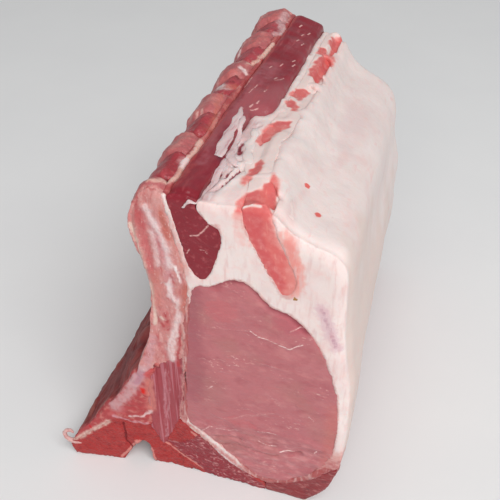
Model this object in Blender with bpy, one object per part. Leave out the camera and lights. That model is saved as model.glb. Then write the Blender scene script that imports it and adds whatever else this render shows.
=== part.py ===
"""Raw bone-in pork loin, a piece six ribs long, standing on its sawn midline.

Millimetres in the sections below, metres in the meshes, +Z up. The loin runs along +Y, with
the cut that shows the eye of meat at the front. The rib cage side is -X and the back fat is +X.
Sections lie in the XZ plane. Each one is drawn straight, run along Y, and then bent by bend(),
so that neighbours that share a border still meet after the loin has its taper and its bulges.
"""

import math

import bmesh
import bpy
from mathutils import Vector

MM = 0.001

# Driving dimensions, in millimetres
LENGTH = 148.5
RIB_PITCH = 28.5
RIB_HALF_WIDTH = 7.8
DISC_THICKNESS = 4.5
FIRST_DISC = 20.5
FEATHER_BONE_LENGTH = 14.0
GAP = 0.3
NEAR_STATION = 9.0
FAR_STATION = 20.0

# How the far end differs from the front, and how the long sides swell
BASE_TAPER = 0.15
SHOULDER_TAPER = 5.0
TOP_DROP = 4.5
SIDE_SLOPE = 0.29
RIB_SPREAD = 4.5
CUT_SKEW = 0.19
CHEST_BULGE = 6.5
BULGE_RUN = 35.0
WAIST = 2.6

# Colours, as linear RGB
FAT = (0.80, 0.66, 0.62)
EYE = (0.47, 0.16, 0.18)
DARK_MEAT = (0.26, 0.04, 0.06)
PALE_MEAT = (0.66, 0.18, 0.17)
STRIPED_MEAT = (0.42, 0.10, 0.12)
RED_MEAT = (0.40, 0.07, 0.08)
BONE = (0.45, 0.10, 0.09)
RIB_BONE = (0.58, 0.24, 0.22)
GRISTLE = (0.72, 0.50, 0.50)
DISC = (0.70, 0.52, 0.52)


def clamp(value, low=0.0, high=1.0):
    return min(max(value, low), high)


def ease(value):
    """0 to 1 with a soft start and end."""
    u = clamp(value)
    return u * u * (3 - 2 * u)


def hump(value):
    """1 at zero, falling softly to nothing at -1 and 1."""
    u = clamp(1 - value * value)
    return u * u


# Sections: borders, each drawn once and shared by the pieces on its two sides


def border(*points, steps=2):
    """A smooth open line through points, as a Catmull-Rom curve."""
    line = []
    last = len(points) - 1
    for i in range(last):
        before, start, end, after = (Vector(points[clamp_index(j, last)]) for j in range(i - 1, i + 3))
        for k in range(steps):
            u = k / steps
            line.append(
                0.5
                * (
                    2 * start
                    + (end - before) * u
                    + (2 * before - 5 * start + 4 * end - after) * u**2
                    + (3 * start - before - 3 * end + after) * u**3
                )
            )
    line.append(Vector(points[last]))
    return line


def clamp_index(index, last):
    return min(max(index, 0), last)


def section(*borders):
    """The closed outline that the borders make, each joining the next end to end."""
    outline = []
    for line in borders:
        outline += line[:-1] if (line[-1] - borders[0][0]).length < 1e-6 else line
        outline = [p for i, p in enumerate(outline) if i == 0 or (p - outline[i - 1]).length > 1e-6]
    return outline


def back(line):
    return line[::-1]


def area(outline):
    total = 0.0
    for a, b in zip(outline, outline[1:] + outline[:1]):
        total += a.x * b.y - a.y * b.x
    return total / 2


def grown(outline, by):
    """The outline moved outwards by this much, or inwards by a negative amount."""
    turn = 1 if area(outline) > 0 else -1
    moved = []
    for i, here in enumerate(outline):
        arrive = (here - outline[i - 1]).normalized()
        leave = (outline[(i + 1) % len(outline)] - here).normalized()
        across = Vector((arrive.y + leave.y, -arrive.x - leave.x)) * turn
        reach = max(across.length_squared / 2, 0.6)
        moved.append(here + across * (by / reach))
    return moved


RIB_CHEST = border((-6, 135), (-9, 128), (-8.8, 118), (-6, 108), (-4.4, 97), (-5.5, 80), (-7.5, 69.5), (-12.5, 52.5))
RIB_ROOT = border((-12.5, 52.5), (-8, 55), (-4.5, 59.5), (4.8, 66.5))
RIB_BACK = border((4.8, 66.5), (6, 80.5), (8.5, 99.5), (7.5, 111.5), (4.5, 126.5), (2.2, 137))
RIB_TOP = border((2.2, 137), (-2, 138.5), (-6, 135))
MEAT_CHEST = border((-4.2, 131.5), (-6.4, 126), (-6.4, 118), (-4, 108), (-2.4, 97), (-3.5, 80), (-5.3, 69.5), (-9.4, 54))
MEAT_ROOT = border((-9.4, 54), (-8, 55), (-4.5, 59.5), (4.8, 66.5))
MEAT_TOP = border((2.2, 137), (-1.5, 135), (-4.2, 131.5))
GRISTLE_BACK = border((-4.5, 59.5), (-8, 48), (-9, 39), (-8.5, 27), (-9.5, 24.2))
GRISTLE_CHEST = border((-43, 9), (-38, 16.5), (-31.5, 24.5), (-24.5, 34.5), (-18.5, 43), (-12.5, 52.5))
GRISTLE_ROOT = border((-12.5, 52.5), (-8, 55), (-4.5, 59.5))
BODY_TOP = border((-9.5, 24.2), (-12.5, 25.5), (-25, 25.5), (-32, 18.5), (-43, 9))
BODY_CHEST = border((-43, 9), (-43.8, 4), (-42.5, 0), steps=1)
BODY_SAWN = border((-42.5, 0), (-22.5, 0), steps=1)
CANAL = border((-22.5, 0), (-20, 6), (-18, 9.5), (-15.5, 14.3), (-13, 14), (-11.5, 11.5), (-11, 6), (-10.2, 0), steps=1)
FOOT_SAWN = border((-10.2, 0), (1.5, 0), steps=1)
FOOT_BACK = border((1.5, 0), (2.5, 4.5), (-0.5, 8.5), (-5.5, 13.2))
ARCH_BACK = border((-5.5, 13.2), (-7.5, 20), (-9.5, 24.2))
STRIPE_BACK = border((4.8, 66.5), (5, 57), (3.8, 42.5), (1.8, 31))
STRIPE_FOOT = border((1.8, 31), (-1.5, 22.5), (-4, 15.5), (-5.5, 13.2))
STRIPE_TOP = border((-4.5, 59.5), (4.8, 66.5), steps=3)
ARCH_TIP_TOP = border((1.8, 31), (7.5, 26.4), (9.5, 25))
ARCH_TIP_FOOT = border((9.5, 25), (8, 22), (2, 16.5), (-4, 15.5))
FEATHER_TOP = border((9.5, 25), (14, 20.5), (20.5, 13.5), (26.5, 9.5), (36.3, 5.6))
FEATHER_END = border((36.3, 5.6), (36.5, 0), steps=1)
FEATHER_SAWN = border((36.5, 0), (1.5, 0), steps=2)
FEATHER_ROOT = border((-5.5, 13.2), (-4, 15.5), steps=1)
SOLE_TOP = border((36.3, 5.6), (46, 8.4), (57, 18.4), (61, 24), (64.4, 25.5))
SOLE_SIDE = border((64.4, 25.5), (62.6, 18.5), (60, 11), (55, 4), (52.5, 0))
SOLE_SAWN = border((52.5, 0), (36.5, 0), steps=2)

RIB_SECTION = section(RIB_CHEST, RIB_ROOT, RIB_BACK, RIB_TOP)
RIB_MEAT_SECTION = section(MEAT_CHEST, MEAT_ROOT, RIB_BACK, MEAT_TOP)
GRISTLE_SECTION = section(GRISTLE_CHEST, GRISTLE_ROOT, GRISTLE_BACK, BODY_TOP)
VERTEBRA_SECTION = section(BODY_TOP, BODY_CHEST, BODY_SAWN, CANAL, FOOT_SAWN, FOOT_BACK, ARCH_BACK)
STRIPED_SECTION = section(back(GRISTLE_BACK), STRIPE_TOP, STRIPE_BACK, STRIPE_FOOT, ARCH_BACK)
ARCH_TIP_SECTION = section(ARCH_TIP_TOP, ARCH_TIP_FOOT, border((-4, 15.5), (-1.5, 22.5), (1.8, 31)))
FEATHER_SECTION = section(
    FEATHER_TOP, FEATHER_END, FEATHER_SAWN, FOOT_BACK, FEATHER_ROOT, back(ARCH_TIP_FOOT)
)
SOLE_SECTION = section(SOLE_TOP, SOLE_SIDE, SOLE_SAWN, back(FEATHER_END))

# Muscles that lie in the fat, and the fat's own outside


def ring(*points, steps=2):
    """A smooth closed outline through points."""
    looped = border(*points[-2:], *points, *points[:2], steps=steps)
    return looped[2 * steps : (2 + len(points)) * steps]


EYE_SECTION = ring(
    (10.5, 101), (17, 104), (24.5, 109), (30, 108), (37, 101), (43.5, 99.3), (49, 94.5), (55.5, 83.5),
    (60.8, 66), (61.8, 49.5), (61.2, 33), (55.5, 21), (45.5, 11), (36, 8), (27.5, 12.5), (15, 24.5),
    (6.5, 31), (5, 36), (5.8, 54), (8.2, 82),
)
TAIL_FRONT = ring(
    (4.4, 134.5), (6.4, 126.5), (8.2, 120), (9.5, 112), (11.2, 108), (14.5, 105.8), (17.2, 110),
    (19.3, 116.5), (21, 125.5), (19.8, 129.6), (17.2, 128.4), (15.3, 132), (12.4, 133),
    (13.4, 137.9), (5, 137.9),
)
TAIL_REAR = ring(
    (4.4, 134.5), (6.4, 126.5), (8.2, 120), (9.5, 112), (11.2, 108), (14.5, 105.8), (17.8, 110),
    (20, 117), (20.8, 125), (21, 130.5), (20.8, 134.5), (19.6, 138.2), (15, 138.5), (9, 138.4),
    (5.2, 138),
)
SIDE_MEAT_FRONT = ring(
    (27.5, 136), (28.5, 130), (33, 121), (40.5, 106.4), (44, 108.5), (44.6, 114.5), (38.4, 129.5),
    (36.8, 135), (34.5, 140.2), (28.5, 138.5),
)
SIDE_MEAT_REAR = ring(
    (26, 135.8), (26.6, 132), (28, 129.5), (31.5, 128), (33.6, 129.5), (34.3, 132), (34.7, 135.5),
    (34.5, 138), (32.6, 139.9), (28.5, 138.7),
)
COVERED_TOP = 135.5
PATCH_SLIDE = 4.5
FAT_SECTION = ring(
    (-1, 137.4), (9, 136.6), (18, 137), (27, 137.8), (33.5, 139.2), (38, 136.6), (42, 132), (48, 129.4),
    (54, 127.8), (59, 124.2), (61.2, 117), (61.6, 102), (63, 86), (65.6, 70), (66, 46), (65.3, 30),
    (62.5, 20), (56, 11), (45, 3.5), (30, 3), (15, 5), (2, 9), (-3, 24), (-4.5, 42), (-1, 58), (0, 80),
    (0.5, 105), (-1.5, 125),
)


def bend(x, y, z):
    """Where a point of the straight block comes to lie in the real loin."""
    along = y / LENGTH
    side = max(x, 0.0)
    shoulder = ease((x - 12) / 24) * (1 - ease((x - 44) / 16)) * ease((z - 104) / 30)
    narrower = BASE_TAPER * side + SHOULDER_TAPER * shoulder
    behind_cut = 1 - (1 - clamp(y / BULGE_RUN)) ** 2
    chest = ease(-x / 12) * hump((z - 52) / 46) * behind_cut * CHEST_BULGE
    spread = RIB_SPREAD * ease(-x / 7) * ease((z - 84) / 34)
    waist = WAIST * ease((x - 38) / 22) * (1 - ease((z - 12) / 60)) * hump(2 * along - 1.05)
    lower = (TOP_DROP + SIDE_SLOPE * side) * ease((z - 70) / 52)
    forward = CUT_SKEW * min(x + 3, 0) * (1 - clamp(along))
    return (
        x - along * (narrower + spread) - chest - waist,
        y + forward,
        z - along * lower,
    )


# Pieces


def material(name, colour, roughness):
    made = bpy.data.materials.new(name)
    made.use_nodes = True
    shader = made.node_tree.nodes["Principled BSDF"]
    shader.inputs["Base Color"].default_value = (*colour, 1)
    shader.inputs["Roughness"].default_value = roughness
    return made


def stations(start, end, spacing):
    count = max(round((end - start) / spacing), 1)
    return [start + (end - start) * i / count for i in range(count + 1)]


def skinned(name, loops, collection):
    """A closed solid through loops of points in millimetres, bent as the loin is."""
    bm = bmesh.new()
    rings = [[bm.verts.new([c * MM for c in bend(*point)]) for point in loop] for loop in loops]
    for near, far in zip(rings, rings[1:]):
        for i, corner in enumerate(near):
            bm.faces.new((corner, near[i - 1], far[i - 1]))
            bm.faces.new((corner, far[i - 1], far[i]))
    caps = [bm.faces.new(rings[0]), bm.faces.new(rings[-1])]
    bmesh.ops.recalc_face_normals(bm, faces=bm.faces)
    bmesh.ops.triangulate(bm, faces=caps)
    mesh = bpy.data.meshes.new(name)
    bm.to_mesh(mesh)
    bm.free()
    obj = bpy.data.objects.new(name, mesh)
    collection.objects.link(obj)
    return obj


def places_between(start, end):
    """Stations along the loin, close together where the chest side swells and far apart behind."""
    turn = clamp(BULGE_RUN, start, end)
    near = stations(start, turn, NEAR_STATION)[:-1] if turn > start else []
    far = stations(turn, end, FAR_STATION) if end > turn else [end]
    return near + far


def loft(name, outlines, places, collection):
    """A solid through one outline at each place along Y."""
    loops = [[(p.x, y, p.y) for p in outline] for outline, y in zip(outlines, places)]
    return skinned(name, loops, collection)


def strand(name, path, width, thickness, colour, facing=(0, 0, 1), sides=6):
    """A soft flat strand along a path, its flat side facing this way, narrowing to blunt ends."""
    points = [Vector(point) for point in path]
    last = len(points) - 1
    loops = []
    for i, here in enumerate(points):
        ahead = (points[min(i + 1, last)] - points[max(i - 1, 0)]).normalized()
        across = ahead.cross(Vector(facing)).normalized()
        up = across.cross(ahead)
        full = 0.45 if i in (0, last) else 1.0
        turns = [2 * math.pi * k / sides for k in range(sides)]
        loops.append(
            [
                here
                + across * (math.cos(t) * full * width / 2)
                + up * (math.sin(t) * full * thickness / 2)
                for t in turns
            ]
        )
    obj = skinned(name, loops, PARTS)
    obj.data.materials.append(material(name, colour, 0.4))
    return obj


def piece(name, outlines, places, colour, roughness=0.5):
    """A loft that shows, each outline drawn in by half the gap between neighbours."""
    obj = loft(name, [grown(o, -GAP / 2) for o in outlines], places, PARTS)
    obj.data.materials.append(material(name, colour, roughness))
    return obj


def run_through(name, outline, colour):
    places = places_between(0, LENGTH)
    return piece(name, [outline] * len(places), places, colour)


def cutter(name, outlines, places, room=GAP / 2):
    """The room that a piece takes in the fat, running out past both ends of the loin."""
    room = [grown(o, room) for o in outlines]
    past_front, past_back = places[0] - NEAR_STATION, places[-1] + NEAR_STATION
    obj = loft(name, [room[0], *room, room[-1]], [past_front, *places, past_back], CUTTERS)
    obj.hide_render = True
    obj.display_type = "WIRE"
    return obj


def cut(obj, tool):
    modifier = obj.modifiers.new("room for " + tool.name, "BOOLEAN")
    modifier.object = tool
    modifier.operation = "DIFFERENCE"
    modifier.solver = "EXACT"


def mixed(first, second, share):
    return [a.lerp(b, share) for a, b in zip(first, second)]


def make_ribs():
    """Six ribs, the first and the last sawn through at the two ends, and the meat between them."""
    round_edge = ((0.0, 2.6), (0.9, 1.1), (2.6, 0.0))
    for number in range(6):
        middle = number * RIB_PITCH
        low = max(middle - RIB_HALF_WIDTH, 0)
        high = min(middle + RIB_HALF_WIDTH, LENGTH)
        places, drawn_in = [], []
        for inwards, inset in round_edge:
            if low > 0:
                places.append(low + inwards)
                drawn_in.append(inset)
        if low == 0:
            places.append(0)
            drawn_in.append(0)
        for inwards, inset in reversed(round_edge):
            if high < LENGTH:
                places.append(high - inwards)
                drawn_in.append(inset)
        if high == LENGTH:
            places.append(LENGTH)
            drawn_in.append(0)
        outlines = [grown(RIB_SECTION, -inset) for inset in drawn_in]
        piece(f"rib_{number + 1}", outlines, places, RIB_BONE)
    for number in range(5):
        start = number * RIB_PITCH + RIB_HALF_WIDTH + GAP
        end = min((number + 1) * RIB_PITCH - RIB_HALF_WIDTH, LENGTH) - GAP
        places = places_between(start, end)
        piece(f"rib_meat_{number + 1}", [RIB_MEAT_SECTION] * len(places), places, RED_MEAT)


def make_spine():
    """Six sawn vertebrae with a disc between each two, and the feather bones behind them."""
    starts = [0.0]
    for number in range(5):
        disc_start = FIRST_DISC + number * RIB_PITCH
        places = [disc_start + GAP / 2, disc_start + DISC_THICKNESS - GAP / 2]
        piece(f"disc_{number + 1}", [VERTEBRA_SECTION] * 2, places, DISC)
        starts.append(disc_start + DISC_THICKNESS)
    ends = [start - DISC_THICKNESS for start in starts[1:]] + [LENGTH]
    for number, (start, end) in enumerate(zip(starts, ends)):
        low = start + (GAP / 2 if number else 0)
        high = end - (GAP / 2 if end < LENGTH else 0)
        places = places_between(low, high)
        piece(f"vertebra_{number + 1}", [VERTEBRA_SECTION] * len(places), places, BONE)
    for number in range(6):
        start = number * RIB_PITCH
        middle = min(start + FEATHER_BONE_LENGTH, LENGTH)
        end = min(start + RIB_PITCH, LENGTH)
        bone = [start + (GAP / 2 if number else 0), middle - (GAP / 2 if middle < LENGTH else 0)]
        piece(f"feather_bone_{number + 1}", [FEATHER_SECTION] * 2, bone, BONE)
        if end - middle > NEAR_STATION:
            meat = [middle + GAP / 2, end - GAP / 2]
            piece(f"feather_meat_{number + 1}", [FEATHER_SECTION] * 2, meat, RED_MEAT)


def make_muscles_and_fat():
    """The muscles that run the whole length, and the fat that fills the space round them."""
    run_through("joint_gristle", GRISTLE_SECTION, GRISTLE)
    run_through("striped_muscle", STRIPED_SECTION, STRIPED_MEAT)
    run_through("arch_tip", ARCH_TIP_SECTION, BONE)
    run_through("sole_muscle", SOLE_SECTION, RED_MEAT)
    run_through("eye_muscle", EYE_SECTION, EYE)

    long_stations = places_between(0, LENGTH)
    tail_places = [0, 24, 48, 53, 58, 63, 68, 108, LENGTH]
    tail = [mixed(TAIL_FRONT, TAIL_REAR, ease((y - 50) / 16)) for y in tail_places]
    piece("tail_muscle", tail, tail_places, DARK_MEAT)

    # The side muscle shows through the fat in patches, between these places where it is covered
    covers = [17.5, 39, 65.5, 90.5, 122]
    side_places = sorted([0, 8, LENGTH] + [c + d for c in covers for d in (-3, 0, 3)])
    side = []
    for y in side_places:
        outline = mixed(SIDE_MEAT_FRONT, SIDE_MEAT_REAR, ease((y - 6) / 22))
        slide = PATCH_SLIDE * ease((y - 10) / 14) * (1 - ease((y - 30) / 75))
        top = COVERED_TOP if y in covers else 200
        side.append([Vector((p.x - slide, min(p.y, top))) for p in outline])
    piece("side_muscle", side, side_places, PALE_MEAT)

    fat = loft("fat", [FAT_SECTION] * len(long_stations), long_stations, PARTS)
    fat.data.materials.append(material("fat", FAT, 0.45))
    for name, outline in (
        ("ribs", RIB_SECTION),
        ("stripes", STRIPED_SECTION),
        ("arch", ARCH_TIP_SECTION),
        ("feather bones", FEATHER_SECTION),
        ("sole", SOLE_SECTION),
        ("eye", EYE_SECTION),
    ):
        cut(fat, cutter(name, [outline] * len(long_stations), long_stations))
    cut(fat, cutter("tail", tail, tail_places, room=GAP))
    cut(fat, cutter("side meat", side, side_places, room=GAP))


def make_loose_bits():
    """Strands of fat lying on the cut above the tail muscle, and the curl at the spine's edge."""
    over_meat, over_fat = 139.4, 138.0
    strands = (
        (over_meat, 2.0, ((12, 2), (13.8, 5), (14.2, 10), (14.4, 15), (14.8, 21))),
        (over_meat, 3.2, ((11.6, 22), (11, 30), (10.2, 38), (9.8, 47), (10.2, 55))),
        (over_meat, 2.2, ((17, 23), (15, 29), (14.2, 35), (14.6, 41), (13.2, 48))),
        (over_fat, 2.6, ((21.5, 24), (19.4, 30), (18, 37), (17.6, 46))),
    )
    for number, (height, width, path) in enumerate(strands):
        points = [(x, y, height) for x, y in path]
        strand(f"fat_strand_{number + 1}", points, width, 1.5, FAT)
    curl = ((-45.2, 0.6, 7.2), (-46.3, 0.5, 9.6), (-45.8, 0.4, 12.3), (-43.6, 0.5, 14), (-41.4, 0.6, 14.2))
    strand("edge_curl", curl, 1.9, 1.9, GRISTLE, facing=(0, -1, 0))


def collection(name):
    made = bpy.data.collections.new(name)
    bpy.context.scene.collection.children.link(made)
    return made


def middle_of_base():
    """The middle of the loin's box, on the ground, in millimetres."""
    corners = [v.co / MM for obj in PARTS.objects for v in obj.data.vertices]
    lows, highs = ([pick(c[axis] for c in corners) for axis in range(3)] for pick in (min, max))
    return Vector(((lows[0] + highs[0]) / 2, (lows[1] + highs[1]) / 2, lows[2]))


for old in list(bpy.data.objects):
    bpy.data.objects.remove(old, do_unlink=True)
PARTS = collection("Pork loin")
CUTTERS = collection("Cutters")
CUTTERS.hide_render = True
make_ribs()
make_spine()
make_muscles_and_fat()
make_loose_bits()
ORIGIN = middle_of_base()
for obj in (*PARTS.objects, *CUTTERS.objects):
    obj.location = -ORIGIN * MM
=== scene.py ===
"""Raw bone-in pork loin: the looks of the joint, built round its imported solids.

Lengths are in millimetres where a name or comment doesn't say otherwise, and metres in the meshes.
The near cut, with the eye of meat, faces -Y; the ribs are on -X and the back fat on +X. Lines and
outlines of two numbers are (x, z) on the near cut, and (x, y) on top of the joint. Colours of
looks and strokes are three numbers up to 255, as a screen shows them.
"""

import math

import bpy
import numpy as np
from mathutils import Matrix, Vector, noise
from mathutils.bvhtree import BVHTree
from mathutils.kdtree import KDTree


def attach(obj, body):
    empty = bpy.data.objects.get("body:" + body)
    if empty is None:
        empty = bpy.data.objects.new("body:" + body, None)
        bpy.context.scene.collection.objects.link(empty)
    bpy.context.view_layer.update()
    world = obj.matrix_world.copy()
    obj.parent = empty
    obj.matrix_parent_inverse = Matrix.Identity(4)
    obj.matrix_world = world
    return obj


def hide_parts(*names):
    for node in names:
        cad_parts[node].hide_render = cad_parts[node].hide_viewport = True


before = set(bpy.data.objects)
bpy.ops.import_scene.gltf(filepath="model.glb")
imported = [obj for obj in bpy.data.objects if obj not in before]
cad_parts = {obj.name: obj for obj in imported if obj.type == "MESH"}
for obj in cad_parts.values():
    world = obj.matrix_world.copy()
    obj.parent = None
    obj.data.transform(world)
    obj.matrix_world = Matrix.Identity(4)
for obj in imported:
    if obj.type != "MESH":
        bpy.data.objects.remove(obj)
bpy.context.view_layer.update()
bpy.ops.object.select_all(action="DESELECT")
MM = 0.001

# Studio
# The joint stands on a plain pale table top in a pale room. One broad soft lamp hangs over the
# camera's right shoulder, and a weaker one stands low in front of the near cut.

AIM = Vector((-2.0, 0.5, 60.0)) * MM
CAMERA_AWAY = 328.8 * MM
CAMERA_DOWN = math.radians(40)
CAMERA_TURN = math.radians(17.85)
SENSOR_WIDTH = 36.0
PICTURE_WIDTH_PX = 500
FOCAL_LENGTH_PX = 780
LAMP_AIM = Vector((0, 0, 0.07))

bpy.ops.object.camera_add()
camera = bpy.context.object
camera.rotation_euler = (math.pi / 2 - CAMERA_DOWN, 0, CAMERA_TURN)
camera.location = AIM + camera.rotation_euler.to_matrix() @ Vector((0, 0, CAMERA_AWAY))
camera.data.sensor_width = SENSOR_WIDTH
camera.data.lens = SENSOR_WIDTH * FOCAL_LENGTH_PX / PICTURE_WIDTH_PX
camera.data.clip_start = 0.01
bpy.context.scene.camera = camera
bpy.context.scene.view_settings.view_transform = "Standard"


def soft_lamp(name, turn, height, away, width, watts):
    """A square lamp that looks at the joint from this many degrees round and above, in metres."""
    way = Matrix.Rotation(math.radians(turn), 3, "Z") @ Matrix.Rotation(-math.radians(height), 3, "X")
    place = LAMP_AIM + way @ Vector((0, -away, 0))
    bpy.ops.object.light_add(type="AREA", location=place)
    lamp = bpy.context.object
    lamp.name = name
    lamp.data.size = width
    lamp.data.energy = watts
    lamp.rotation_euler = (LAMP_AIM - place).to_track_quat("-Z", "Y").to_euler()


soft_lamp("key_lamp", 42, 54, 1.7, 1.1, 20.4)
soft_lamp("front_lamp", 12, 30, 1.9, 1.0, 8.2)

world = bpy.context.scene.world or bpy.data.worlds.new("World")
bpy.context.scene.world = world
world.use_nodes = True
world.node_tree.nodes["Background"].inputs["Color"].default_value = (0.93, 0.94, 0.96, 1)
world.node_tree.nodes["Background"].inputs["Strength"].default_value = 0.34

bpy.ops.mesh.primitive_plane_add(size=6)
table_top = bpy.context.object
table_top.name = "table_top"


def linear(colour):
    """A colour of three numbers up to 255, as a screen shows it, in linear light."""
    shares = [c / 255 for c in colour]
    return tuple(c / 12.92 if c <= 0.04045 else ((c + 0.055) / 1.055) ** 2.4 for c in shares)


class Look:
    """One wet or dry surface, with a short call for each kind of node that paints it."""

    def __init__(self, name, roughness, scatter=0.0, scatter_mm=1.0, wet=0.0):
        self.material = bpy.data.materials.new(name)
        self.material.use_nodes = True
        self.tree = self.material.node_tree
        self.shader = self.tree.nodes["Principled BSDF"]
        self.places = self.node("ShaderNodeTexCoord").outputs["Object"]
        inputs = self.shader.inputs
        inputs["Roughness"].default_value = roughness
        inputs["Specular IOR Level"].default_value = 0.18
        inputs["Subsurface Weight"].default_value = scatter
        inputs["Subsurface Radius"].default_value = (1.0, 0.45, 0.35)
        inputs["Subsurface Scale"].default_value = scatter_mm * MM
        inputs["Coat Weight"].default_value = wet
        inputs["Coat Roughness"].default_value = 0.16
        self.normal = None
        self.base = None

    def node(self, kind, **settings):
        made = self.tree.nodes.new(kind)
        for key, value in settings.items():
            setattr(made, key, value)
        return made

    def feed(self, socket, value):
        if isinstance(value, bpy.types.NodeSocket):
            self.tree.links.new(value, socket)
        elif socket.type == "RGBA":
            socket.default_value = (*value, 1)
        else:
            socket.default_value = value

    def painted(self, name):
        """What was painted on the piece's points under this name."""
        return self.node("ShaderNodeAttribute", attribute_name=name).outputs["Fac"]

    def scaled(self, size, stretch):
        mapping = self.node("ShaderNodeMapping")
        self.feed(mapping.inputs["Vector"], self.places)
        mapping.inputs["Scale"].default_value = [1 / (size * MM * s) for s in stretch]
        return mapping.outputs["Vector"]

    def grain(self, size, stretch=(1, 1, 1), detail=3.0, bend=0.0):
        """Cloudy grain of about this many millimetres, about a half, drawn out along axes."""
        made = self.node("ShaderNodeTexNoise")
        self.feed(made.inputs["Vector"], self.scaled(size, stretch))
        made.inputs["Scale"].default_value = 1.0
        made.inputs["Detail"].default_value = detail
        made.inputs["Distortion"].default_value = bend
        return made.outputs["Fac"]

    def cells(self, size):
        """Distance to the middle of the nearest small cell."""
        made = self.node("ShaderNodeTexVoronoi")
        self.feed(made.inputs["Vector"], self.scaled(size, (1, 1, 1)))
        made.inputs["Scale"].default_value = 1.0
        return made.outputs["Distance"]

    def arithmetic(self, operation, first, second):
        made = self.node("ShaderNodeMath", operation=operation)
        self.feed(made.inputs[0], first)
        self.feed(made.inputs[1], second)
        return made.outputs[0]

    def window(self, value, low, high, most=1.0):
        """0 below low, the most above high and soft between; the other way round if low is higher."""
        made = self.node("ShaderNodeMapRange", interpolation_type="SMOOTHSTEP")
        self.feed(made.inputs["Value"], value)
        made.inputs["From Min"].default_value = low
        made.inputs["From Max"].default_value = high
        made.inputs["To Max"].default_value = most
        return made.outputs["Result"]

    def clouds(self, size, stretch, low, high, most=1.0, **grain):
        """Patches where grain of this size reaches a window of heights."""
        return self.window(self.grain(size, stretch, **grain), low, high, most)

    def within(self, name, *clouds, **grain):
        """Such patches, only where this name was painted."""
        return self.arithmetic("MULTIPLY", self.painted(name), self.clouds(*clouds, **grain))

    def smooth(self, name, low, high, most=1.0):
        """What was painted under this name, with a soft edge."""
        return self.window(self.painted(name), low, high, most)

    def ragged(self, name, size, most=1.0, low=0.35, high=0.65, stretch=(1, 1, 1)):
        """What was painted under this name, its edge broken up by grain of this size."""
        uneven = self.arithmetic("SUBTRACT", self.grain(size, stretch), 0.5)
        edge = self.arithmetic("ADD", self.painted(name), self.arithmetic("MULTIPLY", uneven, 0.9))
        return self.window(edge, low, high, most)

    def brushwork(self, size=1.2, stretch=(1, 1, 2)):
        """Lays on what was painted in strokes, made uneven by grain of this size."""
        strokes = self.node("ShaderNodeAttribute", attribute_name="brush")
        uneven = self.arithmetic("SUBTRACT", self.grain(size, stretch, detail=5), 0.5)
        share = self.arithmetic("ADD", strokes.outputs["Alpha"], self.arithmetic("MULTIPLY", uneven, 1.3))
        share = self.window(share, 0.12, 0.98)
        share = self.arithmetic("MULTIPLY", share, self.window(strokes.outputs["Alpha"], 0, 0.35))
        self.coat(strokes.outputs["Color"], share)

    def coat(self, colour, share):
        """Lays a colour over the surface, where the share is above 0."""
        if not isinstance(colour, bpy.types.NodeSocket):
            colour = linear(colour)
        if self.base is None:
            self.base = colour
            self.feed(self.shader.inputs["Base Color"], colour)
            return
        made = self.node("ShaderNodeMix", data_type="RGBA")
        self.feed(made.inputs["Factor"], share)
        self.feed(made.inputs[6], self.base)
        self.feed(made.inputs[7], colour)
        self.base = made.outputs[2]
        self.feed(self.shader.inputs["Base Color"], self.base)

    def coats(self, *layers):
        """Lays on colours and their shares, each over those before it."""
        for colour, share in layers:
            self.coat(colour, share)

    def relief(self, height, depth):
        """Adds fine relief of this many millimetres to the surface."""
        made = self.node("ShaderNodeBump")
        made.inputs["Distance"].default_value = depth * MM
        self.feed(made.inputs["Height"], height)
        if self.normal is not None:
            self.feed(made.inputs["Normal"], self.normal)
        self.normal = made.outputs["Normal"]
        self.feed(self.shader.inputs["Normal"], self.normal)
        self.feed(self.shader.inputs["Coat Normal"], self.normal)


look = Look("pale_table", 0.6)
look.coats(((228, 228, 228), 1), ((234, 234, 233), look.grain(60)))
table_top.data.materials.append(look.material)

# Back fat and seam fat
# One piece of firm white fat: a thick layer over the back, and seams that run in between the
# muscles. Knife work left folds and torn flaps on it, and thin fat lies over the side muscle.

LET_OUT = 0.35
NEAR_CUT = -69.9
FAR_CUT = 78.6
CUT_SKEW = 0.19
SKEW_START = -12.4
PAST_CUTS = 4
CUT_SKIN = 0.5
TOP_FROM = 122
ON_CUT = (0, 2)
ON_TOP = (0, 1)

# The offsets of the vector noise are drawn when Blender starts, so a seed makes each run the same
DRIFT_SEED = 7
noise.seed_set(DRIFT_SEED)


def alone(piece):
    """Makes this piece the only selected one."""
    bpy.ops.object.select_all(action="DESELECT")
    bpy.context.view_layer.objects.active = piece
    piece.select_set(True)


def applied(piece, kind, **settings):
    """Applies one modifier to the piece."""
    alone(piece)
    modifier = piece.modifiers.new(kind, kind)
    for key, value in settings.items():
        setattr(modifier, key, value)
    bpy.ops.object.modifier_apply(modifier=modifier.name)


def read(parts, name):
    """Three numbers of each point or face of a mesh."""
    values = np.zeros(len(parts) * 3)
    parts.foreach_get(name, values)
    return values.reshape(-1, 3)


def spots(piece):
    """Every point of the piece, in millimetres."""
    return read(piece.data.vertices, "co") / MM


def put(piece, places):
    """Moves every point of the piece to its place, but none below the table."""
    places = np.array(places)
    places[:, 2] = np.maximum(places[:, 2], 0)
    piece.data.vertices.foreach_set("co", (places * MM).ravel())
    piece.data.update()


def facing(piece):
    """The way the surface looks at every point."""
    return read(piece.data.vertices, "normal")


def lumps(places, size, seed=0.0, stretch=(1, 1, 1)):
    """Soft lumps of about this size at each place, from -1 to 1."""
    scaled = places / (np.array(stretch) * size) + seed
    return np.array([noise.noise(Vector(p)) for p in scaled])


def drift(places):
    """A soft way to move each place, up to about 1 along each axis."""
    return np.array([noise.noise_vector(Vector(p)) for p in places])


def ease(value):
    """0 to 1 with a soft start and end."""
    u = np.clip(value, 0, 1)
    return u * u * (3 - 2 * u)


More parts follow.
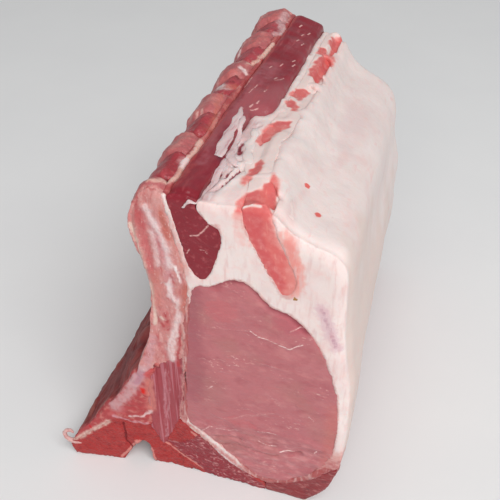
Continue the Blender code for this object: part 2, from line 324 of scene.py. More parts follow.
def open_with(piece, kind, picked):
    """Opens the piece for editing, with only the picked points or faces selected."""
    alone(piece)
    bpy.ops.object.mode_set(mode="EDIT")
    bpy.ops.mesh.select_mode(type=kind)
    bpy.ops.mesh.select_all(action="DESELECT")
    bpy.ops.object.mode_set(mode="OBJECT")
    parts = piece.data.vertices if kind == "VERT" else piece.data.polygons
    parts.foreach_set("select", picked)
    bpy.ops.object.mode_set(mode="EDIT")


def merge(piece, picked, reach):
    """Merges the picked points that lie closer together than this."""
    open_with(piece, "VERT", picked)
    bpy.ops.mesh.remove_doubles(threshold=reach * MM)
    bpy.ops.object.mode_set(mode="OBJECT")


def near_cut(places):
    """Where the near cut is at each place: it runs forward on the rib side."""
    return NEAR_CUT + CUT_SKEW * np.minimum(places[:, 0] - SKEW_START, 0)


def depth(places):
    """How far each place lies behind the nearer of the two cuts."""
    return np.minimum(places[:, 1] - near_cut(places), FAR_CUT - places[:, 1])


def on_cut(places):
    """Which places lie in the skin of a cut."""
    return depth(places) < CUT_SKIN


def in_sight(places):
    """The two cuts and the top, which show most."""
    return on_cut(places) | (places[:, 2] > TOP_FROM)


# The drawn block tapers, drops and bulges as it runs back from the near cut
DRAWN_OFFSET = 9.4
BASE_TAPER = 0.15
SHOULDER_TAPER = 5
TOP_DROP = 4.5
SIDE_SLOPE = 0.29
RIB_SPREAD = 4.5
CHEST_BULGE = 6.5
BULGE_RUN = 35
UNBENDING_STEPS = 8


def unbent(places):
    """Each place as it lies in the straight block, with the far half laid over the near one."""
    share = np.clip((places[:, 1] - NEAR_CUT) / (FAR_CUT - NEAR_CUT), 0, 1)
    behind = 1 - (1 - np.clip((places[:, 1] - NEAR_CUT) / BULGE_RUN, 0, 1)) ** 2
    x = places[:, 0]
    z = places[:, 2]
    for _ in range(UNBENDING_STEPS):
        drawn_x = x + DRAWN_OFFSET
        side = np.maximum(drawn_x, 0)
        shoulder = ease((drawn_x - 12) / 24) * (1 - ease((drawn_x - 44) / 16)) * ease((z - 104) / 30)
        spread = RIB_SPREAD * ease(-drawn_x / 7) * ease((z - 84) / 34)
        chest = CHEST_BULGE * behind * ease(-drawn_x / 12) * ease(1 - ((z - 52) / 46) ** 2)
        x = places[:, 0] + share * (BASE_TAPER * side + SHOULDER_TAPER * shoulder + spread) + chest
        z = places[:, 2] + share * (TOP_DROP + SIDE_SLOPE * side) * ease((z - 70) / 52)
    y = np.where(places[:, 1] > 0, NEAR_CUT + FAR_CUT - places[:, 1], places[:, 1])
    return np.stack([x, y, z], axis=1)


def loosen(piece):
    """Moves the straight lines of the joint a little out of true, alike in neighbouring pieces."""
    places = spots(piece)
    off_table = np.clip(places[:, 2:] / 6, 0, 1)
    moved = places + (0.55 * drift(places / 15) + 0.3 * drift(places / 4)) * off_table
    waves = 0.3 * lumps(moved * (1, 0, 1), 14, 3.0) + 0.05 * lumps(moved * (1, 0, 1), 4.5, 1.0)
    by_cut = 1 - ease((depth(places) - CUT_SKIN) / 7)
    moved[:, 1] += by_cut * (places[:, 1] + waves - moved[:, 1])
    put(piece, moved)


def fleshed(name, node, cell, proud=0.0, let_out=LET_OUT):
    """A skin of even small faces in the form of a node's solid, cut off flat at both cuts."""
    piece = bpy.data.objects.new(name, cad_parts[node].data.copy())
    bpy.context.scene.collection.objects.link(piece)
    piece.data.materials.clear()
    merge(piece, np.ones(len(piece.data.vertices), bool), 0.01)
    places = spots(piece)
    at_near = places[:, 1] < near_cut(places) + 0.1
    at_far = places[:, 1] > FAR_CUT - 0.1
    places[:, 1] += PAST_CUTS * at_far - PAST_CUTS * at_near
    put(piece, places)
    applied(piece, "DISPLACE", strength=let_out * MM, mid_level=0)
    applied(piece, "REMESH", mode="VOXEL", voxel_size=cell * MM)
    applied(piece, "SMOOTH", factor=0.5, iterations=3)
    places = spots(piece)
    near = near_cut(places) - LET_OUT / 2 - proud
    far = np.full(len(places), FAR_CUT + LET_OUT / 2 + proud)
    past = (places[:, 1] < near) | (places[:, 1] > far)
    places[:, 1] = np.clip(places[:, 1], near, far)
    put(piece, places)
    merge(piece, past, 0.5 * cell)
    loosen(piece)
    alone(piece)
    bpy.ops.object.shade_smooth()
    return piece


def finer(piece, picked_by, cuts=1):
    """Splits the faces whose middles are picked, and frays the borders in the two cuts."""
    open_with(piece, "FACE", picked_by(read(piece.data.polygons, "center") / MM))
    bpy.ops.mesh.subdivide(number_cuts=cuts)
    bpy.ops.object.mode_set(mode="OBJECT")
    places = spots(piece)
    frayed = drift(places * (1, 0, 1) / 1.4) + 0.5 * drift(places * (1, 0, 1) / 0.6)
    put(piece, places + 0.2 * frayed * (1, 0, 1) * on_cut(places)[:, None])


def surveyed(piece):
    """Its points, how they lie in the straight block, and which of them lie in a cut."""
    places = spots(piece)
    return places, unbent(places), on_cut(places)


def paint(piece, name, values):
    """Keeps a share from 0 to 1 for every point, for the look to use under this name."""
    made = piece.data.attributes.new(name, "FLOAT", "POINT")
    made.data.foreach_set("value", np.asarray(np.clip(values, 0, 1), dtype=np.float32))


def gap(flat, start, end):
    """How far each place lies from the straight line between two points."""
    way = end - start
    share = np.clip((flat - start) @ way / (way @ way), 0, 1)
    return np.linalg.norm(flat - start - share[:, None] * way, axis=1)


def along(places, line, width, axes=ON_CUT):
    """1 on a line through points, falling to 0 at this distance from it, seen square on."""
    flat = places[:, axes]
    points = np.array(line, float)
    least = np.min([gap(flat, start, end) for start, end in zip(points[:-1], points[1:])], axis=0)
    return ease(1 - least / width)


def strongest(places, lines, axes=ON_CUT):
    """As along, for lines that each have a width and a share; where they meet, the most counts."""
    return np.max([share * along(places, line, width, axes) for line, width, share in lines], axis=0)


def running_mean(values, count):
    """The mean of every run of this many values."""
    return np.convolve(values, np.ones(count) / count, "valid")


# How far the joint's outline in the cut lies from a spot inside it, at every degree round
MIDDLE_OF_CUT = np.array((10, 60))
SMOOTHED_OVER = 7
AT_EDGE = 0.3
joint_outline = np.zeros(360)
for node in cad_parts.values():
    corners = np.array([v.co for v in node.data.vertices]) / MM
    on_edge = [e.vertices for e in node.data.edges if depth(corners[list(e.vertices)]).max() < AT_EDGE]
    on_edge = [pair for pair in on_edge if corners[list(pair), 1].max() < 0]
    for start, end in corners[np.array(on_edge, int).reshape(-1, 2)]:
        for share in np.linspace(0, 1, 9):
            out = (start + share * (end - start))[[0, 2]] - MIDDLE_OF_CUT
            degree = int(math.degrees(math.atan2(out[1], out[0]))) % 360
            joint_outline[degree] = max(joint_outline[degree], np.hypot(*out))
known = np.nonzero(joint_outline)[0]
beyond = SMOOTHED_OVER // 2
joint_outline = np.interp(np.arange(-beyond, 361 + beyond), known, joint_outline[known], period=360)
joint_outline = running_mean(joint_outline, SMOOTHED_OVER)

# How wide the edge is rounded at these degrees round, and how square the corner counts before it
EDGE_TURNS = (0, 20, 50, 62, 78, 97, 108, 116, 124, 140, 200, 215, 235, 300, 320, 340, 360)
EDGE_RADII = (5, 6, 8, 6, 5, 4, 4, 5, 3, 0.8, 0.5, 1.5, 0.3, 0.3, 2, 4, 5)
EDGE_POWER = 10


def softened(piece, turns=4):
    """Rounds the outer edges of the joint along both cuts, as soft meat does."""
    places = spots(piece)
    flat = unbent(places)
    out = flat[:, [0, 2]] - MIDDLE_OF_CUT
    away = np.linalg.norm(out, axis=1)
    turn = np.degrees(np.arctan2(out[:, 1], out[:, 0])) % 360
    radius = np.interp(turn, EDGE_TURNS, EDGE_RADII)
    behind = np.clip(radius - depth(places), 0, None)
    edge = np.interp(turn, np.arange(361), joint_outline) + LET_OUT
    inwards = np.clip(radius - (edge - away), 0, None)
    length = np.maximum(np.hypot(behind, inwards), 1e-9)
    square = (behind ** EDGE_POWER + inwards ** EDGE_POWER) ** (1 / EDGE_POWER)
    shrink = np.clip(1 - square / length, 0, 1)
    inner = out / np.maximum(away, 1e-9)[:, None]
    places[:, [0, 2]] -= (inwards * shrink)[:, None] * inner
    places[:, 1] -= np.sign(places[:, 1]) * behind * shrink
    put(piece, places)
    group = piece.vertex_groups.new(name="rim")
    group.add([int(index) for index in np.nonzero(behind * inwards)[0]], 0.7, "REPLACE")
    applied(piece, "SMOOTH", factor=0.5, iterations=turns, vertex_group="rim")
    piece.vertex_groups.clear()


def inside(places, outline, soft=0.8, axes=ON_TOP):
    """1 inside an outline, 0 outside it and soft for this distance on both sides."""
    flat = places[:, axes]
    least = np.full(len(flat), 1e9)
    within = np.zeros(len(flat), bool)
    corners = np.array(outline, float)
    for start, end in zip(corners, np.roll(corners, -1, axis=0)):
        way = end - start
        least = np.minimum(least, gap(flat, start, end))
        crosses = (start[1] > flat[:, 1]) != (end[1] > flat[:, 1])
        reach = start[0] + (flat[:, 1] - start[1]) * way[0] / (way[1] or 1e-9)
        within ^= crosses & (flat[:, 0] < reach)
    return ease(0.5 + np.where(within, least, -least) / (2 * soft))


def around(places, middle, reach):
    """1 in the middle of an oval, falling to 0 at its edge."""
    return ease(1 - np.linalg.norm((places - np.array(middle)) / np.array(reach), axis=1))


def brushed(piece, flat, base, strokes, axes=ON_CUT, share=1.0):
    """Paints soft uneven strokes, each over those before it, and gives how far they stand out."""
    wander = 0.7 * drift(flat / 2.8) + 0.35 * drift(flat / 0.9)
    base = np.array(linear(base))
    colours = np.tile(base, (len(flat), 1))
    bare = np.ones(len(flat))
    made = piece.data.attributes.get("brush")
    if made:
        painted = np.zeros(4 * len(flat), np.float32)
        made.data.foreach_get("color", painted)
        colours = painted.reshape(-1, 4)[:, :3]
        bare = 1 - painted.reshape(-1, 4)[:, 3]
    for colour, width, most, line in strokes:
        near = share * np.minimum(1.25 * most * along(flat + wander, line, 1.25 * width, axes), most)
        colours = colours + near[:, None] * (np.array(linear(colour)) - colours)
        bare = bare * (1 - near)
    made = made or piece.data.attributes.new("brush", "FLOAT_COLOR", "POINT")
    made.data.foreach_set("color", np.column_stack([colours, 1 - bare]).astype(np.float32).ravel())
    return (colours - base).mean(axis=1) * (1 - bare)


def nearness(piece, node, reach):
    """1 where the piece touches this node, falling to 0 at this distance from it."""
    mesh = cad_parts[node].data
    corners = [v.co.copy() for v in mesh.vertices]
    tree = BVHTree.FromPolygons(corners, [p.vertices[:] for p in mesh.polygons])
    least = [tree.find_nearest(v.co, reach * MM * 1.01)[3] for v in piece.data.vertices]
    return np.array([0 if d is None else max(1 - d / (reach * MM), 0) for d in least])


def dress(piece, look, slot, *nodes):
    """Gives the piece its look, hangs it on the root and hides its nodes; the slot is not used."""
    piece.data.materials.append(look.material)
    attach(piece, "root")
    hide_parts(*nodes)


# The side muscle shows on top in patches, whose edges are the fat's; the knife left slots and holes,
# painted darker as painted shade.
BARE_PATCHES = (
    ((15.6, -67.5), (17.2, -62.5), (20.3, -58.6), (22.4, -50), (24.6, -53), (26, -61), (27.3, -74),
     (16, -74)),
    ((15.6, -42), (17.9, -45), (17.8, -49.5), (16.4, -53), (15, -59.5), (13.2, -57.5), (13.7, -52),
     (14.2, -46.5)),
    ((9.9, -30), (10, -20.6), (12.6, -14), (17.6, -13), (17.7, -17), (15.4, -23.3), (14, -29.6), (12, -33)),
    ((10.4, 9), (11.2, 14.5), (16.5, 15.8), (16.3, 9), (15.6, 4.6), (13.2, 7)),
    ((10.6, 2.8), (12.6, 4.6), (16.8, -1.2), (17.6, -5), (15.4, -4.6), (11.6, 0)),
    ((12.6, 27), (11.7, 34), (12.4, 44), (13.6, 54), (17.5, 54), (18.3, 46), (17.6, 35), (17.2, 26)),
    ((9.8, 58), (10.6, 50.5), (13.6, 49.5), (14.2, 57)),
    ((12.4, 62), (12, 72), (15, 74), (15.5, 64)),
)
SLOTS = (
    ((3.4, -70), (3.7, -66), (4.8, -61.7), (5.8, -58), (5.8, -53)),
    ((7.3, -63), (9.2, -59.2), (10.1, -54.9), (11.2, -49.6)),
    ((8.2, -48.4), (9.6, -48.6)),
    ((5.2, -34), (7, -38.6)),
    ((8, -56), (8.3, -51)),
)
HOLES = (
    ((7.0, -21.4, 133.7), (0.8, 1.6, 3)),
    ((8.1, -20.0, 133.6), (0.8, 1.6, 3)),
    ((5.9, -33.5, 134), (1.6, 4.5, 5)),
    ((7.2, -39, 134), (2.2, 4, 5)),
    ((9.4, -44.5, 134), (2, 2.4, 5)),
)
BLOOD_SPOTS = ((30.7, -42.5, 128.7), (37.2, -53.8, 127.3))
GASH = ((43.8, 104.1), (45.6, 99.5), (47.4, 94.6), (49.3, 89))
SPECK = (35.3, -70, 106.3)
FOLD = ((31.7, -43.9), (38, -40), (44.7, -38.1))
FOOT_CORNER = ((16, 14), (22, 4), (40, -4), (58, 10), (58, 26), (50, 25), (44, 20), (30, 12))
BESIDE_RIBS = (222, 180, 174)

# Strokes that run across the borders of pieces: colour, width, share and a line on the near cut
CREAM = (226, 202, 188)
BONE_WHITE = (234, 212, 210)
# Painted highlight: the white of small wet glints
GLINT_WHITE = (244, 230, 228)
ORANGE = (192, 102, 90)
SALMON = (204, 124, 114)
MARROW = (190, 88, 90)
BLOOD_RED = (174, 54, 58)
LILAC = (208, 160, 168)
CUT_STROKES = (
    (SALMON, 3, 0.8, ((-17.8, 50), (-18.2, 34.4))),
    ((160, 62, 68), 2.4, 0.8, ((-17, 32), (-14.8, 17.6))),
    (MARROW, 2.4, 0.7, ((-34.9, 28.4), (-29.1, 31.7))),
    (CREAM, 1.4, 0.85, ((-18.6, 124), (-16.6, 117), (-15.5, 110.5), (-14.2, 104.8), (-13.4, 98),
     (-13.1, 89), (-13.5, 81))),
    (LILAC, 3, 0.6, ((-14.5, 74), (-16.4, 65), (-19.2, 57), (-24, 49))),
    (MARROW, 2.6, 0.75, ((-15.3, 130), (-14.3, 122.2), (-13.4, 115), (-12.7, 108.5), (-12.3, 102))),
    (BLOOD_RED, 2, 0.4, ((-15.4, 131), (-14, 127), (-13.2, 124))),
    (LILAC, 2.8, 0.6, ((-11.2, 129), (-9.4, 121), (-7.6, 113), (-6.4, 104), (-5.6, 95))),
    (BONE_WHITE, 1.4, 0.6, ((-11.2, 121), (-10.4, 113.3), (-9.9, 108))),
    (BONE_WHITE, 1.6, 0.75, ((-12.2, 131.5), (-11.2, 127.3), (-8.3, 121.8), (-6.6, 116.5), (-5.5, 109))),
    ((218, 164, 158), 3.4, 0.7, ((-8.6, 136), (-6, 128), (-4, 121), (-2.2, 114), (-0.6, 108))),
    (SALMON, 1.0, 0.6, ((-7.4, 132), (-5, 123), (-3.2, 115), (-1.4, 108))),
    (ORANGE, 1.7, 0.9, ((-7.4, 129.5), (-6.4, 124), (-5.6, 120.5))),
    (SALMON, 2.6, 0.7, ((-11, 104), (-11.4, 97), (-11.6, 90.5))),
    (BONE_WHITE, 1.1, 0.8, ((-7.2, 100.5), (-5.6, 93.8))),
    (BONE_WHITE, 1, 0.7, ((-6.1, 103), (-7.3, 98.4), (-7.6, 95))),
    (SALMON, 1.4, 0.6, ((-4.6, 101.5), (-4.3, 96.6))),
    # Painted highlight: a wet glint
    (GLINT_WHITE, 1, 0.95, ((-4, 109), (-3.4, 106), (-2.9, 102.7))),
    (BLOOD_RED, 0.8, 0.7, ((-6, 105), (-5.2, 101.6))),
    (BLOOD_RED, 0.7, 0.7, ((-2.6, 106), (-2.2, 102.8))),
    (MARROW, 3.4, 0.6, ((-9.4, 86.8), (-9.8, 79.5))),
    (BLOOD_RED, 0.7, 0.9, ((-9.3, 86.4), (-9.2, 85.6))),
    (BLOOD_RED, 0.8, 0.9, ((-8.6, 83.6), (-9, 82.6))),
    (BLOOD_RED, 0.6, 0.9, ((-10.6, 81.2), (-10.3, 80.2))),
    (BLOOD_RED, 0.6, 0.9, ((-8.1, 79.6), (-8.5, 78.8))),
    (CREAM, 0.7, 0.8, ((-10.7, 84.8), (-10.2, 83.6))),
    (MARROW, 2.4, 0.65, ((-12.2, 71), (-9.9, 63.5))),
    (BONE_WHITE, 2.2, 0.8, ((-3.6, 93.4), (-4.6, 85.6), (-6.6, 77), (-8.5, 69.4), (-7.9, 65))),
    (ORANGE, 2.2, 0.85, ((-1, 101), (-1.6, 95.6), (-2.4, 90))),
    (BLOOD_RED, 0.95, 0.85, ((-3.9, 82.4), (-4.8, 73.1), (-6, 65), (-6.6, 61.4))),
    (BLOOD_RED, 1.2, 0.8, ((-5.9, 62.6), (-5.1, 61.9))),
    ((152, 52, 62), 1.1, 0.7, ((-12.8, 57.8), (-13.6, 46), (-15.2, 31))),
    ((170, 72, 82), 1, 0.5, ((-11, 56.4), (-11.6, 44), (-12.8, 30))),
    ((158, 58, 68), 1, 0.5, ((-8, 59), (-9, 44), (-10.4, 30))),
    (LILAC, 0.6, 0.5, ((-11.5, 58.3), (-12.1, 47.1), (-13.3, 35.2), (-13.6, 25))),
    (LILAC, 0.6, 0.5, ((-10, 57.4), (-10.3, 47.7), (-11.3, 39.3), (-12.4, 29.3), (-13.5, 18))),
    (LILAC, 0.6, 0.45, ((-5.4, 57), (-6.3, 49), (-7, 43.6))),
    ((212, 156, 148), 0.8, 0.7, ((-3.1, 84), (-3.3, 76), (-3.9, 67.3), (-4.2, 60), (-5.5, 45),
     (-7.2, 33.2))),
    (CREAM, 2, 0.7, ((-51, 9.8), (-43.4, 16.8), (-36, 23.6))),
    ((200, 160, 162), 4, 0.8, ((-33, 33.5), (-28.6, 39), (-25.2, 44.4), (-22.6, 50.6), (-20.4, 55.6))),
    ((174, 118, 136), 1.9, 0.6, ((-20.3, 54.6), (-22.9, 48.8))),
    (BLOOD_RED, 2, 0.65, ((-26.3, 33.4), (-21.3, 34.2))),
    (BONE_WHITE, 1, 0.75, ((-27.2, 28.3), (-21.7, 29.2), (-19, 32.9))),
    (LILAC, 1.1, 0.7, ((-33.6, 27.3), (-26.8, 25.2), (-20.5, 25.2))),
    ((202, 62, 60), 1.6, 0.7, ((-18.6, 53.4), (-16.6, 56.4))),
    ((214, 42, 36), 1.5, 0.95, ((-21, 45.4), (-20.5, 43.9))),
    ((190, 32, 44), 1, 0.95, ((-44.2, 19.3), (-43.8, 18.6))),
)

# Strokes on the seam under the eye
FOOT_STROKES = (
    ((198, 120, 118), 4, 0.95, ((-8, 30), (-2.8, 26), (4, 20), (10.5, 14), (18.6, 7.5), (25.7, 0))),
    (CREAM, 1.1, 0.8, ((-3.4, 27.5), (0.6, 24), (5, 19.8))),
    (BONE_WHITE, 1.0, 0.85, ((5.6, 18.4), (11, 13.6), (18, 7.6), (22, 4))),
    (BLOOD_RED, 0.9, 0.6, ((2, 20.4), (8, 15), (12, 11.4))),
)

# The pale lower lobe of the side muscle, under thin fat
LOBE_STROKES = (
    ((236, 170, 160), 3.4, 0.8, ((31, 130), (33.6, 126.4), (35.6, 119), (36.4, 113.4), (34.8, 108.6))),
    ((230, 146, 138), 2.4, 0.9, ((32.4, 127.2), (34.6, 119), (35.4, 113.4), (34, 109.4))),
)

# Strokes along the rib ends on top of the joint
BAND_STROKES = (
    ((150, 48, 56), 5, 0.7, ((-12, -50), (-8.4, -57))),
    ((188, 66, 60), 2.4, 0.7, ((-4.6, -31), (-5.4, -38.6))),
    ((188, 118, 112), 3, 0.6, ((-13, -43.6), (-10.6, -37.6))),
    ((150, 50, 58), 4, 0.6, ((-12, -27), (-8, -31))),
    (ORANGE, 1.6, 0.8, ((-6, -31), (-6.6, -25), (-8.6, -16), (-10.2, -8))),
    ((222, 178, 164), 1.5, 0.85, ((-12, -66.6), (-9.4, -65.6), (-6.6, -64), (-5.2, -60.6), (-5.7, -54),
     (-5.8, -47), (-6, -39))),
    (BONE_WHITE, 1.5, 0.9, ((-6, -54.6), (-6.3, -51))),
    ((192, 120, 116), 3.4, 0.6, ((-16, -17), (-11, -13))),
    ((220, 176, 168), 0.7, 0.8, ((-14.8, -19.6), (-13.2, -22))),
    ((220, 176, 168), 0.7, 0.8, ((-13.2, -19), (-11.4, -22.4))),
    (BONE_WHITE, 2.3, 0.9, ((-12.6, 2.4), (-10, -1.6))),
    (ORANGE, 1.8, 0.8, ((-9.6, -1), (-7.4, 1.6))),
    ((196, 92, 88), 3, 0.6, ((-15, 8), (-11.4, 10.4))),
    (BONE_WHITE, 2, 0.9, ((-9.8, 14.6), (-8.3, 13.6))),
    ((226, 184, 168), 1.2, 0.85, ((-8.8, 19.4), (-7.4, 26), (-6.4, 34), (-5.8, 43.4))),
    ((206, 168, 168), 2.6, 0.8, ((-7.6, 52), (-6, 56), (-8.6, 63.6), (-8.8, 73))),
    ((190, 84, 82), 3.4, 0.6, ((-13, 40), (-10.4, 46))),
    ((190, 84, 82), 3, 0.6, ((-14, 64), (-12, 71))),
    ((206, 158, 154), 1.6, 0.55, ((-17.6, -64), (-17.2, -40), (-17.8, -10), (-18.2, 20), (-18.8, 50),
     (-19, 76))),
    # Painted highlights: small wet glints on the rib ends
    (GLINT_WHITE, 0.8, 0.8, ((-17.4, -36.4), (-17, -33))),
    (GLINT_WHITE, 0.8, 0.8, ((-17.6, -43), (-17.4, -41.4))),
    (GLINT_WHITE, 0.7, 0.7, ((-18.6, 36.8), (-18, 38.8))),
)


def bare_patches(places):
    """1 where the side muscle lies bare on top."""
    wander = np.stack([lumps(places, 2.6, 7.0), lumps(places, 2.6, 11.0), 0 * places[:, 0]], axis=1)
    bare = sum(inside(places + wander, patch) for patch in BARE_PATCHES)
    on_top = ease((places[:, 2] - TOP_FROM) / 2) * ease((places[:, 1] + 70.5) / 1.2)
    return np.clip(bare, 0, 1) * on_top


fat = fleshed("back_fat", "fat", 1.5, proud=0.05)
finer(fat, in_sight)
places = spots(fat)
applied(fat, "SMOOTH", factor=0.5, iterations=30)
smooth_skin = ease((places[:, 0] - 17) / 12) * ease((depth(places) - 1) / 16) * ease(places[:, 2] / 8)
places = places + smooth_skin[:, None] * (spots(fat) - places)
put(fat, places)
ways = facing(fat)
cut_face = on_cut(places)
on_top = ease((places[:, 2] - 129) / 3) * ease((places[:, 1] + 69.6) / 1.5)
flap_zone = on_top * ease((15 - places[:, 0]) / 4) * ease((-14 - places[:, 1]) / 5)
flap_zone = flap_zone * ease((places[:, 0] + 2) / 2)
strips = lumps(places, 2.6, 4.0, (1, 5, 2))
slots = sum(along(places, slot, 1.0, ON_TOP) for slot in SLOTS) * on_top
holes = sum(around(places, hole, reach) for hole, reach in HOLES)
folds = along(places, FOLD, 3.5, ON_TOP) * on_top
on_side = ease((places[:, 0] - 30) / 8) * ease((places[:, 1] + 68.5) / 2)
rise = 0.4 * lumps(places, 22, 9.0, (1, 1.6, 1)) * (on_side + on_top * 0.6) * ease(depth(places) / 12)
rise = rise + 0.06 * lumps(places, 5, 2.0, (1, 2, 1)) + 0.03 * lumps(places, 1.6)
rise = rise + flap_zone * (0.7 * strips + 0.2 * lumps(places, 1.5, 8.0))
rise = rise - 1.6 * slots - 1.5 * holes - 0.5 * folds
rise = np.where(cut_face, 0.25 * rise, rise)
put(fat, places + ways * rise[:, None])
softened(fat, 16)
places = spots(fat)

flat = unbent(places)
top_skin = ease((places[:, 2] - 126) / 3)
by_stripes = np.maximum(nearness(fat, "striped_muscle", 4), nearness(fat, "rib_1", 4))
by_stripes = np.maximum(by_stripes, nearness(fat, "rib_6", 4))
between = ease(2.5 * nearness(fat, "eye_muscle", 4)) * ease(2.5 * by_stripes)
foot = inside(flat, FOOT_CORNER, 1.5, ON_CUT)
by_meat = np.maximum(nearness(fat, "eye_muscle", 1.4), nearness(fat, "tail_muscle", 1.2))
by_meat = np.maximum(by_meat, nearness(fat, "side_muscle", 2.0))
paint(fat, "blood", 2 * sum(around(places, spot, (1.4, 1.9, 3)) for spot in BLOOD_SPOTS))
paint(fat, "salmon", bare_patches(places))
paint(fat, "over_meat", nearness(fat, "side_muscle", 3.5) * (1 - cut_face))
paint(fat, "by_meat", by_meat * cut_face)
paint(fat, "flaps", flap_zone * ease((11 - places[:, 0]) / 5))
# Painted shade in the slots and holes
paint(fat, "slot_and_hole_shade", slots * 0.9 + holes)
by_ribs = ease((-3.0 - places[:, 0]) / 1.0) * top_skin * (1 - cut_face)
paint(fat, "by_ribs", by_ribs)
on_left = cut_face * (flat[:, 0] < 1)
brushed(fat, flat, BESIDE_RIBS, CUT_STROKES, share=on_left)
brushed(fat, places, (166, 66, 68), BAND_STROKES, ON_TOP, by_ribs)
brushed(fat, flat, BESIDE_RIBS, FOOT_STROKES + LOBE_STROKES, share=cut_face)
paint(fat, "low_meat", nearness(fat, "sole_muscle", 5) * (1 - cut_face))
paint(fat, "seam", np.maximum(between * (flat[:, 0] < 0) * (flat[:, 2] < 97), foot))
paint(fat, "gash", (along(flat, GASH, 1.5) + 0.5 * along(flat, GASH, 5)) * cut_face)
paint(fat, "speck", 2 * around(places, SPECK, (0.9, 2, 1.0)))
paint(fat, "outside", ease((places[:, 0] - 46 - 3 * lumps(places, 12, 6.0)) / 6) * (1 - cut_face))
paint(fat, "corner", ease((flat[:, 0] - 28) / 10) * ease((45 - flat[:, 2]) / 18))
paint(fat, "cut", cut_face)

look = Look("white_fat", 0.42, scatter=0.25, scatter_mm=2.0, wet=0.1)
look.coats(
    ((230, 211, 206), 1),
    ((240, 226, 222), look.grain(22, detail=2)),
    ((222, 196, 194), look.clouds(14, (1, 1.8, 1), 0.54, 0.76, 0.5)),
    ((232, 200, 196), look.clouds(8, (1, 2.4, 1), 0.53, 0.8, 0.8)),
    ((234, 188, 184), look.clouds(3, (1, 5, 1), 0.62, 0.8, 0.5, bend=0.8)),
    ((222, 198, 186), look.smooth("outside", 0, 1, 0.6)),
    ((196, 154, 156), look.smooth("flaps", 0, 1, 0.6)),
    ((228, 214, 214), look.within("flaps", 1.6, (1, 6, 1), 0.5, 0.7)),
    ((232, 176, 170), look.smooth("over_meat", 0.15, 0.95, 0.4)),
    ((206, 140, 132), look.ragged("corner", 3, 0.8, 0.2, 0.8)),
    ((180, 96, 98), look.ragged("corner", 1.6, 0.85, 0.7, 1.15, (1.6, 1, 1))),
    ((196, 112, 108), look.ragged("low_meat", 3.5, 0.85, 0.4, 0.9, (1, 2, 1))),
    ((204, 136, 132), look.ragged("by_meat", 1.0, 0.7, 0.3, 1.0)),
    ((166, 66, 68), look.ragged("by_ribs", 2.5, 0.97, 0.2, 0.5)),
    ((196, 116, 108), look.within("by_ribs", 2.4, (1, 2, 1), 0.5, 0.7, detail=4)),
    ((168, 76, 76), look.ragged("seam", 2.2, 0.92, 0.3, 0.7)),
)
look.brushwork()
look.coats(
    ((222, 188, 184), look.within("cut", 1.5, (1, 1, 6), 0.5, 0.74, 0.7, detail=5, bend=0.3)),
    ((214, 172, 182), look.ragged("gash", 2.0, 0.55, 0.1, 0.5)),
    ((182, 126, 146), look.ragged("gash", 1.2, 0.6, 0.7, 1.2)),
    ((238, 178, 170), look.ragged("salmon", 2.4, 0.85, 0.0, 0.6)),
    ((226, 120, 116), look.ragged("salmon", 2.0, 0.95, 0.3, 1.1)),
    # Painted shade in the slots and holes
    ((140, 52, 64), look.ragged("slot_and_hole_shade", 1.4, 0.95, 0.4, 0.7)),
    ((226, 108, 100), look.ragged("blood", 0.8, 1.0, 0.2, 0.75)),
    ((164, 116, 60), look.smooth("speck", 0.3, 0.6)),
)
look.relief(look.grain(4, detail=3), 0.14)
look.relief(look.grain(0.9, detail=2), 0.05)
fat_look = look
dress(fat, look, "fat", "fat")

# Eye of the loin
# The long back muscle, cut straight across its fibres. The wet cut is smooth and pale pink, with
# thin pale seams between bundles, their white partly painted highlights, painted shade in creases
# low down, and a rim of painted shade where it dips under the fat.

# Pale seams between bundles; their brightest white is partly painted highlight, the wet glints along them
SEAMS_AND_GLINTS_IN_EYE = (
    (((6.7, 85), (15.8, 86.5), (20.7, 88)), 0.6, 0.5),
    (((20.7, 88), (23.4, 86.1), (27.5, 85.5), (30.3, 84.5), (34.3, 83.5), (36.9, 85.8),
     (38.9, 87.4)), 0.6, 0.9),
    (((23.5, 73), (27, 73.5), (30.5, 73), (33.3, 72.9)), 0.55, 0.7),
    (((31.7, 68.8), (36.2, 69.1)), 0.5, 0.5),
    (((4.8, 53.3), (6.8, 55.6)), 0.8, 0.7),
    (((2.5, 58), (4.4, 61)), 0.9, 0.4),
    (((23.8, 36.5), (27.6, 37.5), (31.4, 37.3)), 0.6, 0.8),
    (((32.4, 26.8), (35.5, 28.7), (37.7, 28.8)), 0.8, 0.9),
    (((45.2, 31.7), (46.2, 33.3)), 0.7, 0.9),
    (((5.9, 39.5), (9.8, 38.1), (15.3, 40.8), (19.1, 44.1), (22.9, 45), (29.6, 48.7)), 0.8, 0.55),
    (((-2.7, 27), (1.4, 27.5), (4.8, 31.9), (8, 31.4), (12, 31.8), (16, 33.4)), 0.9, 0.7),
    (((10.1, 104.9), (14.1, 104.8), (17, 103.6)), 0.6, 0.6),
    (((6.2, 91.4), (11.1, 93.4)), 0.8, 0.4),
    (((34.1, 91.4), (36, 93.2), (37.3, 94.2), (39.9, 94.1)), 0.7, 0.7),
    (((37.4, 64.5), (38.4, 62)), 0.8, 0.5),
    (((37.9, 56), (40, 55)), 0.8, 0.5),
    (((42.4, 51.6), (44.2, 50.2)), 0.6, 0.8),
    (((45.6, 63.4), (47.2, 62.8)), 0.6, 0.7),
    (((24, 30.5), (28, 29), (31, 29.8)), 0.7, 0.8),
    (((34, 24.6), (38.5, 25.8), (42.4, 25.2)), 0.6, 0.6),
    (((26.2, 20.5), (31.5, 21.5)), 0.7, 0.5),
    (((17.4, 63.6), (20.2, 62.6)), 0.6, 0.5),
    (((12.4, 72.6), (14.6, 73.4), (15.4, 72.2)), 0.6, 0.6),
    (((36.3, 74.5), (39, 74)), 0.5, 0.5),
)
